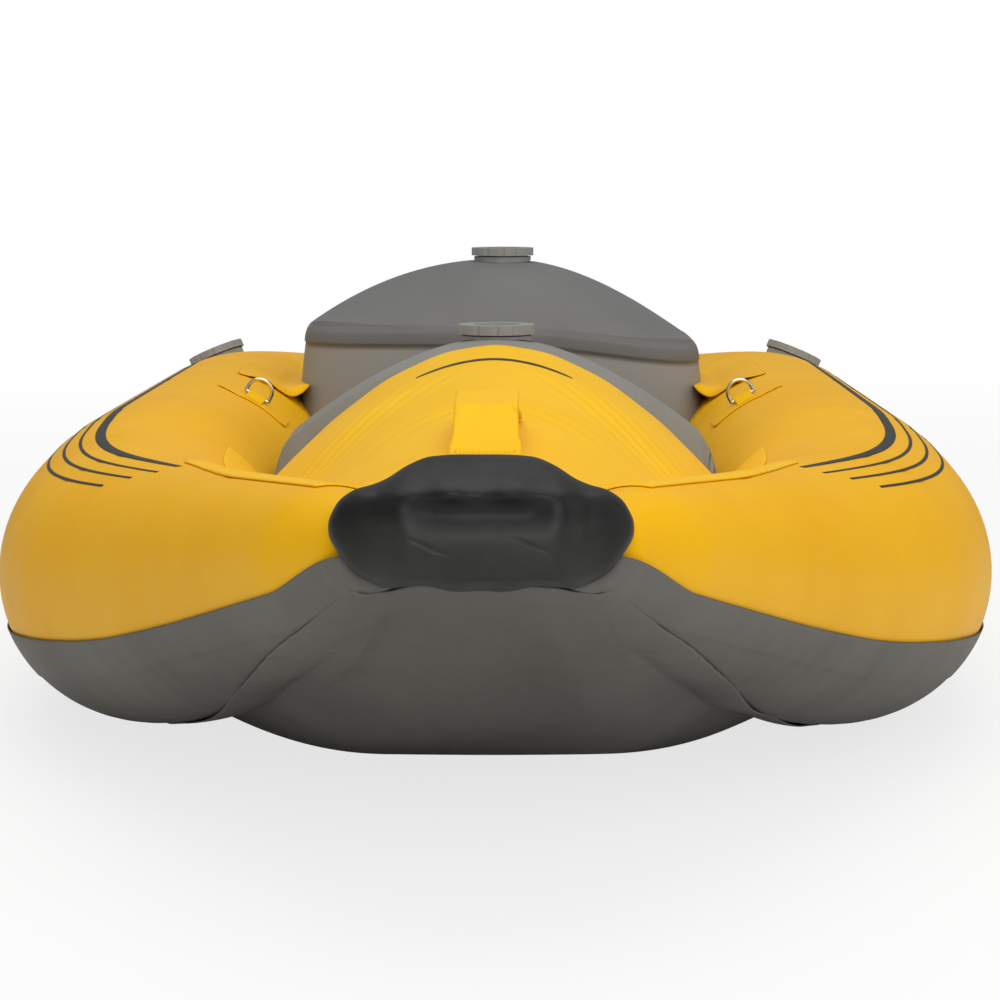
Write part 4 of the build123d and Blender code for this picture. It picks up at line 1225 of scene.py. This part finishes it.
def build_stitcher():
    """A node tree that lays a row of stitches along every line of a mesh."""
    tree = bpy.data.node_groups.new("row_of_stitches", "GeometryNodeTree")
    tree.is_modifier = True
    sockets = {
        "seam": tree.interface.new_socket("Seam", in_out="INPUT", socket_type="NodeSocketGeometry")
    }
    for name in ("Pitch", "Length", "Radius"):
        sockets[name] = tree.interface.new_socket(
            name, in_out="INPUT", socket_type="NodeSocketFloat",
        )
    sockets["Seed"] = tree.interface.new_socket("Seed", in_out="INPUT", socket_type="NodeSocketInt")
    sockets["Thread"] = tree.interface.new_socket(
        "Thread", in_out="INPUT", socket_type="NodeSocketMaterial",
    )
    tree.interface.new_socket("Stitches", in_out="OUTPUT", socket_type="NodeSocketGeometry")
    given = add_node(tree, "NodeGroupInput").outputs
    line = add_node(tree, "GeometryNodeMeshToCurve", {"Mesh": given["Seam"]})
    spaced = add_node(
        tree, "GeometryNodeResampleCurve", {"Curve": line.outputs[0], "Length": given["Pitch"]},
        mode="LENGTH",
    )
    tangent = add_node(tree, "GeometryNodeInputTangent")
    turned = add_node(
        tree, "FunctionNodeAlignRotationToVector", {"Vector": tangent.outputs[0]}, axis="Z",
    )
    skewed = add_node(tree, "FunctionNodeRandomValue", {"Seed": given["Seed"]}, data_type="FLOAT")
    skewed.inputs[2].default_value, skewed.inputs[3].default_value = 0.92, 1.08
    size = add_node(tree, "ShaderNodeCombineXYZ", {0: 1.0, 1: 1.0, 2: skewed.outputs[1]})
    bar = add_node(tree, "GeometryNodeMeshUVSphere", {"Segments": 8, "Rings": 6, "Radius": 1.0})
    flat_scale = add_node(tree, "ShaderNodeMath", {0: given["Length"], 1: 2.0}, operation="DIVIDE")
    bar_size = add_node(
        tree, "ShaderNodeCombineXYZ",
        {0: given["Radius"], 1: given["Radius"], 2: flat_scale.outputs[0]},
    )
    shaped = add_node(
        tree, "GeometryNodeTransform", {"Geometry": bar.outputs[0], "Scale": bar_size.outputs[0]},
    )
    laid = add_node(
        tree, "GeometryNodeInstanceOnPoints",
        {
            "Points": spaced.outputs[0], "Instance": shaped.outputs[0],
            "Rotation": turned.outputs[0], "Scale": size.outputs[0],
        },
    )
    real = add_node(tree, "GeometryNodeRealizeInstances", {0: laid.outputs[0]})
    coloured = add_node(
        tree, "GeometryNodeSetMaterial", {"Geometry": real.outputs[0], "Material": given["Thread"]},
    )
    add_node(tree, "NodeGroupOutput", {0: coloured.outputs[0]})
    return tree, {name: socket.identifier for name, socket in sockets.items()}


stitcher, stitch_sockets = build_stitcher()


def stitch_rows(name, rows, seed):
    """One mesh of thread with a stitch every pitch along each row of points."""
    vertices, edges = [], []
    for row in rows:
        edges += [(len(vertices) + i, len(vertices) + i + 1) for i in range(len(row) - 1)]
        vertices += [tuple(point) for point in row]
    seam = bpy.data.meshes.new(name + "_seam")
    seam.from_pydata(vertices, edges, [])
    piece = bpy.data.objects.new(name, seam)
    scene.collection.objects.link(piece)
    stitching = piece.modifiers.new("stitching", "NODES")
    stitching.node_group = stitcher
    for key, value in (
        ("Pitch", STITCH_PITCH), ("Length", STITCH_LENGTH), ("Radius", THREAD_RADIUS),
        ("Seed", seed), ("Thread", polyester_thread),
    ):
        stitching[stitch_sockets[key]] = value
    bpy.context.view_layer.update()
    mesh = bpy.data.meshes.new_from_object(
        piece.evaluated_get(bpy.context.evaluated_depsgraph_get())
    )
    piece.modifiers.clear()
    piece.data = mesh
    mesh.shade_smooth()
    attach(piece, "hull")


STITCH_ABOVE, STRAP_STITCH_ABOVE = 0.0036, 0.0041
for end, station in RING_STATIONS.items():
    for side in ("port", "starboard"):
        rows = []
        for along in (-0.0275, -0.0125, 0.0125, 0.0275):
            rows.append(beside_ring(station, np.linspace(-0.0092, 0.0092, 9), along, STITCH_ABOVE))
        if side == "starboard":
            rows = [mirrored(row) for row in rows]
        stitch_rows(f"{side}_{end}_webbing_stitches", rows, 11)
STRAP_FEET = ((-0.122, -0.108), (0.065, 0.080))
for end, station, crown_at in (
    ("bow", BOW_STRAP_STATION, lambda s: bow_deck_shape(s)[0]),
    ("stern", STERN_STRAP_STATION, stern_crown),
):
    rows = []
    for near, far in STRAP_FEET:
        s = station + np.concatenate(
            [
                np.full(9, near), np.linspace(near, far, 5), np.full(9, far),
                np.linspace(far, near, 5),
            ]
        )
        x = np.concatenate(
            [np.linspace(-1, 1, 9), np.full(5, 1), np.linspace(1, -1, 9), np.full(5, -1)]
        ) * (STRAP_WIDTH / 2 - 0.003)
        rows.append(np.stack([x, s - LENGTH / 2, crown_at(s) + STRAP_STITCH_ABOVE], axis=1))
    stitch_rows(end + "_strap_stitches", rows, 12)

# Valves. Grey moulded plastic caps and bodies, with black nuts, white poppets, rubber seals and steel springs.
# Moulded parts are satin, with a fine spark-eroded grain of about 0.1 mm, drawn at 0.6 mm so that it shows.


def moulded_plastic(name, colour, roughness):
    """Injection moulded nylon: an even satin colour with a fine grain from the mould."""
    material, tree = new_material(name)
    place = add_node(tree, "ShaderNodeTexCoord").outputs["Object"]
    grain = add_node(
        tree, "ShaderNodeTexNoise", {"Vector": place, "Scale": 1 / 0.0012, "Detail": 2.0},
    )
    bump = add_node(
        tree, "ShaderNodeBump",
        {"Height": grain.outputs["Fac"], "Strength": 0.15, "Distance": 0.0002},
    )
    handled = add_node(tree, "ShaderNodeTexNoise", {"Vector": place, "Scale": 45.0, "Detail": 4.0})
    gloss = add_node(
        tree, "ShaderNodeMapRange",
        {"Value": handled.outputs["Fac"], "To Min": roughness - 0.08, "To Max": roughness + 0.08},
    )
    shader = add_node(
        tree, "ShaderNodeBsdfPrincipled",
        {"Base Color": linear(colour), "Roughness": gloss.outputs[0], "Normal": bump.outputs[0]},
    )
    show(tree, shader)
    return material


def bright_steel(name, colour, marks, detail, roughness):
    """Bare steel, with marks from drawing or tumbling that vary its gloss."""
    material, tree = new_material(name)
    place = add_node(tree, "ShaderNodeTexCoord").outputs["Object"]
    worked = add_node(
        tree, "ShaderNodeTexNoise", {"Vector": place, "Scale": marks, "Detail": detail},
    )
    gloss = add_node(
        tree, "ShaderNodeMapRange",
        {"Value": worked.outputs["Fac"], "To Min": roughness[0], "To Max": roughness[1]},
    )
    show(
        tree,
        add_node(
            tree, "ShaderNodeBsdfPrincipled",
            {"Base Color": linear(colour), "Metallic": 1.0, "Roughness": gloss.outputs[0]},
        ),
    )
    return material


SPRING_MARKS, RING_MARKS = 600.0, 300.0
grey_nylon = moulded_plastic("grey_moulded_nylon", "#8F8F8C", 0.5)
black_nylon = moulded_plastic("black_moulded_nylon", "#1B1B1A", 0.45)
white_acetal = moulded_plastic("white_moulded_acetal", "#DAD9D4", 0.4)
seal_rubber = moulded_plastic("black_seal_rubber", "#1E1E1D", 0.6)
spring_steel = bright_steel("drawn_spring_steel", "#B9B7B2", SPRING_MARKS, 3.0, (0.28, 0.45))
VALVE_FINISHES = {
    "body": grey_nylon, "cap": grey_nylon, "nut": black_nylon, "poppet": white_acetal,
    "seal": seal_rubber, "spring": spring_steel,
}
for place in ("port", "starboard", "arch", "backrest", "floor"):
    for piece, finish in VALVE_FINISHES.items():
        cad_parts[place + "_valve_" + piece].data.materials.clear()
        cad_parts[place + "_valve_" + piece].data.materials.append(finish)

# D-rings. Bent stainless wire, welded and tumbled to a polish, in a fabric loop on a glued patch.
polished_steel = bright_steel("polished_stainless_steel", "#CFCBC0", RING_MARKS, 4.0, (0.10, 0.24))
for side in ("port", "starboard"):
    for end in ("front", "rear"):
        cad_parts[side + "_" + end + "_d_ring"].data.materials.clear()
        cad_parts[side + "_" + end + "_d_ring"].data.materials.append(polished_steel)
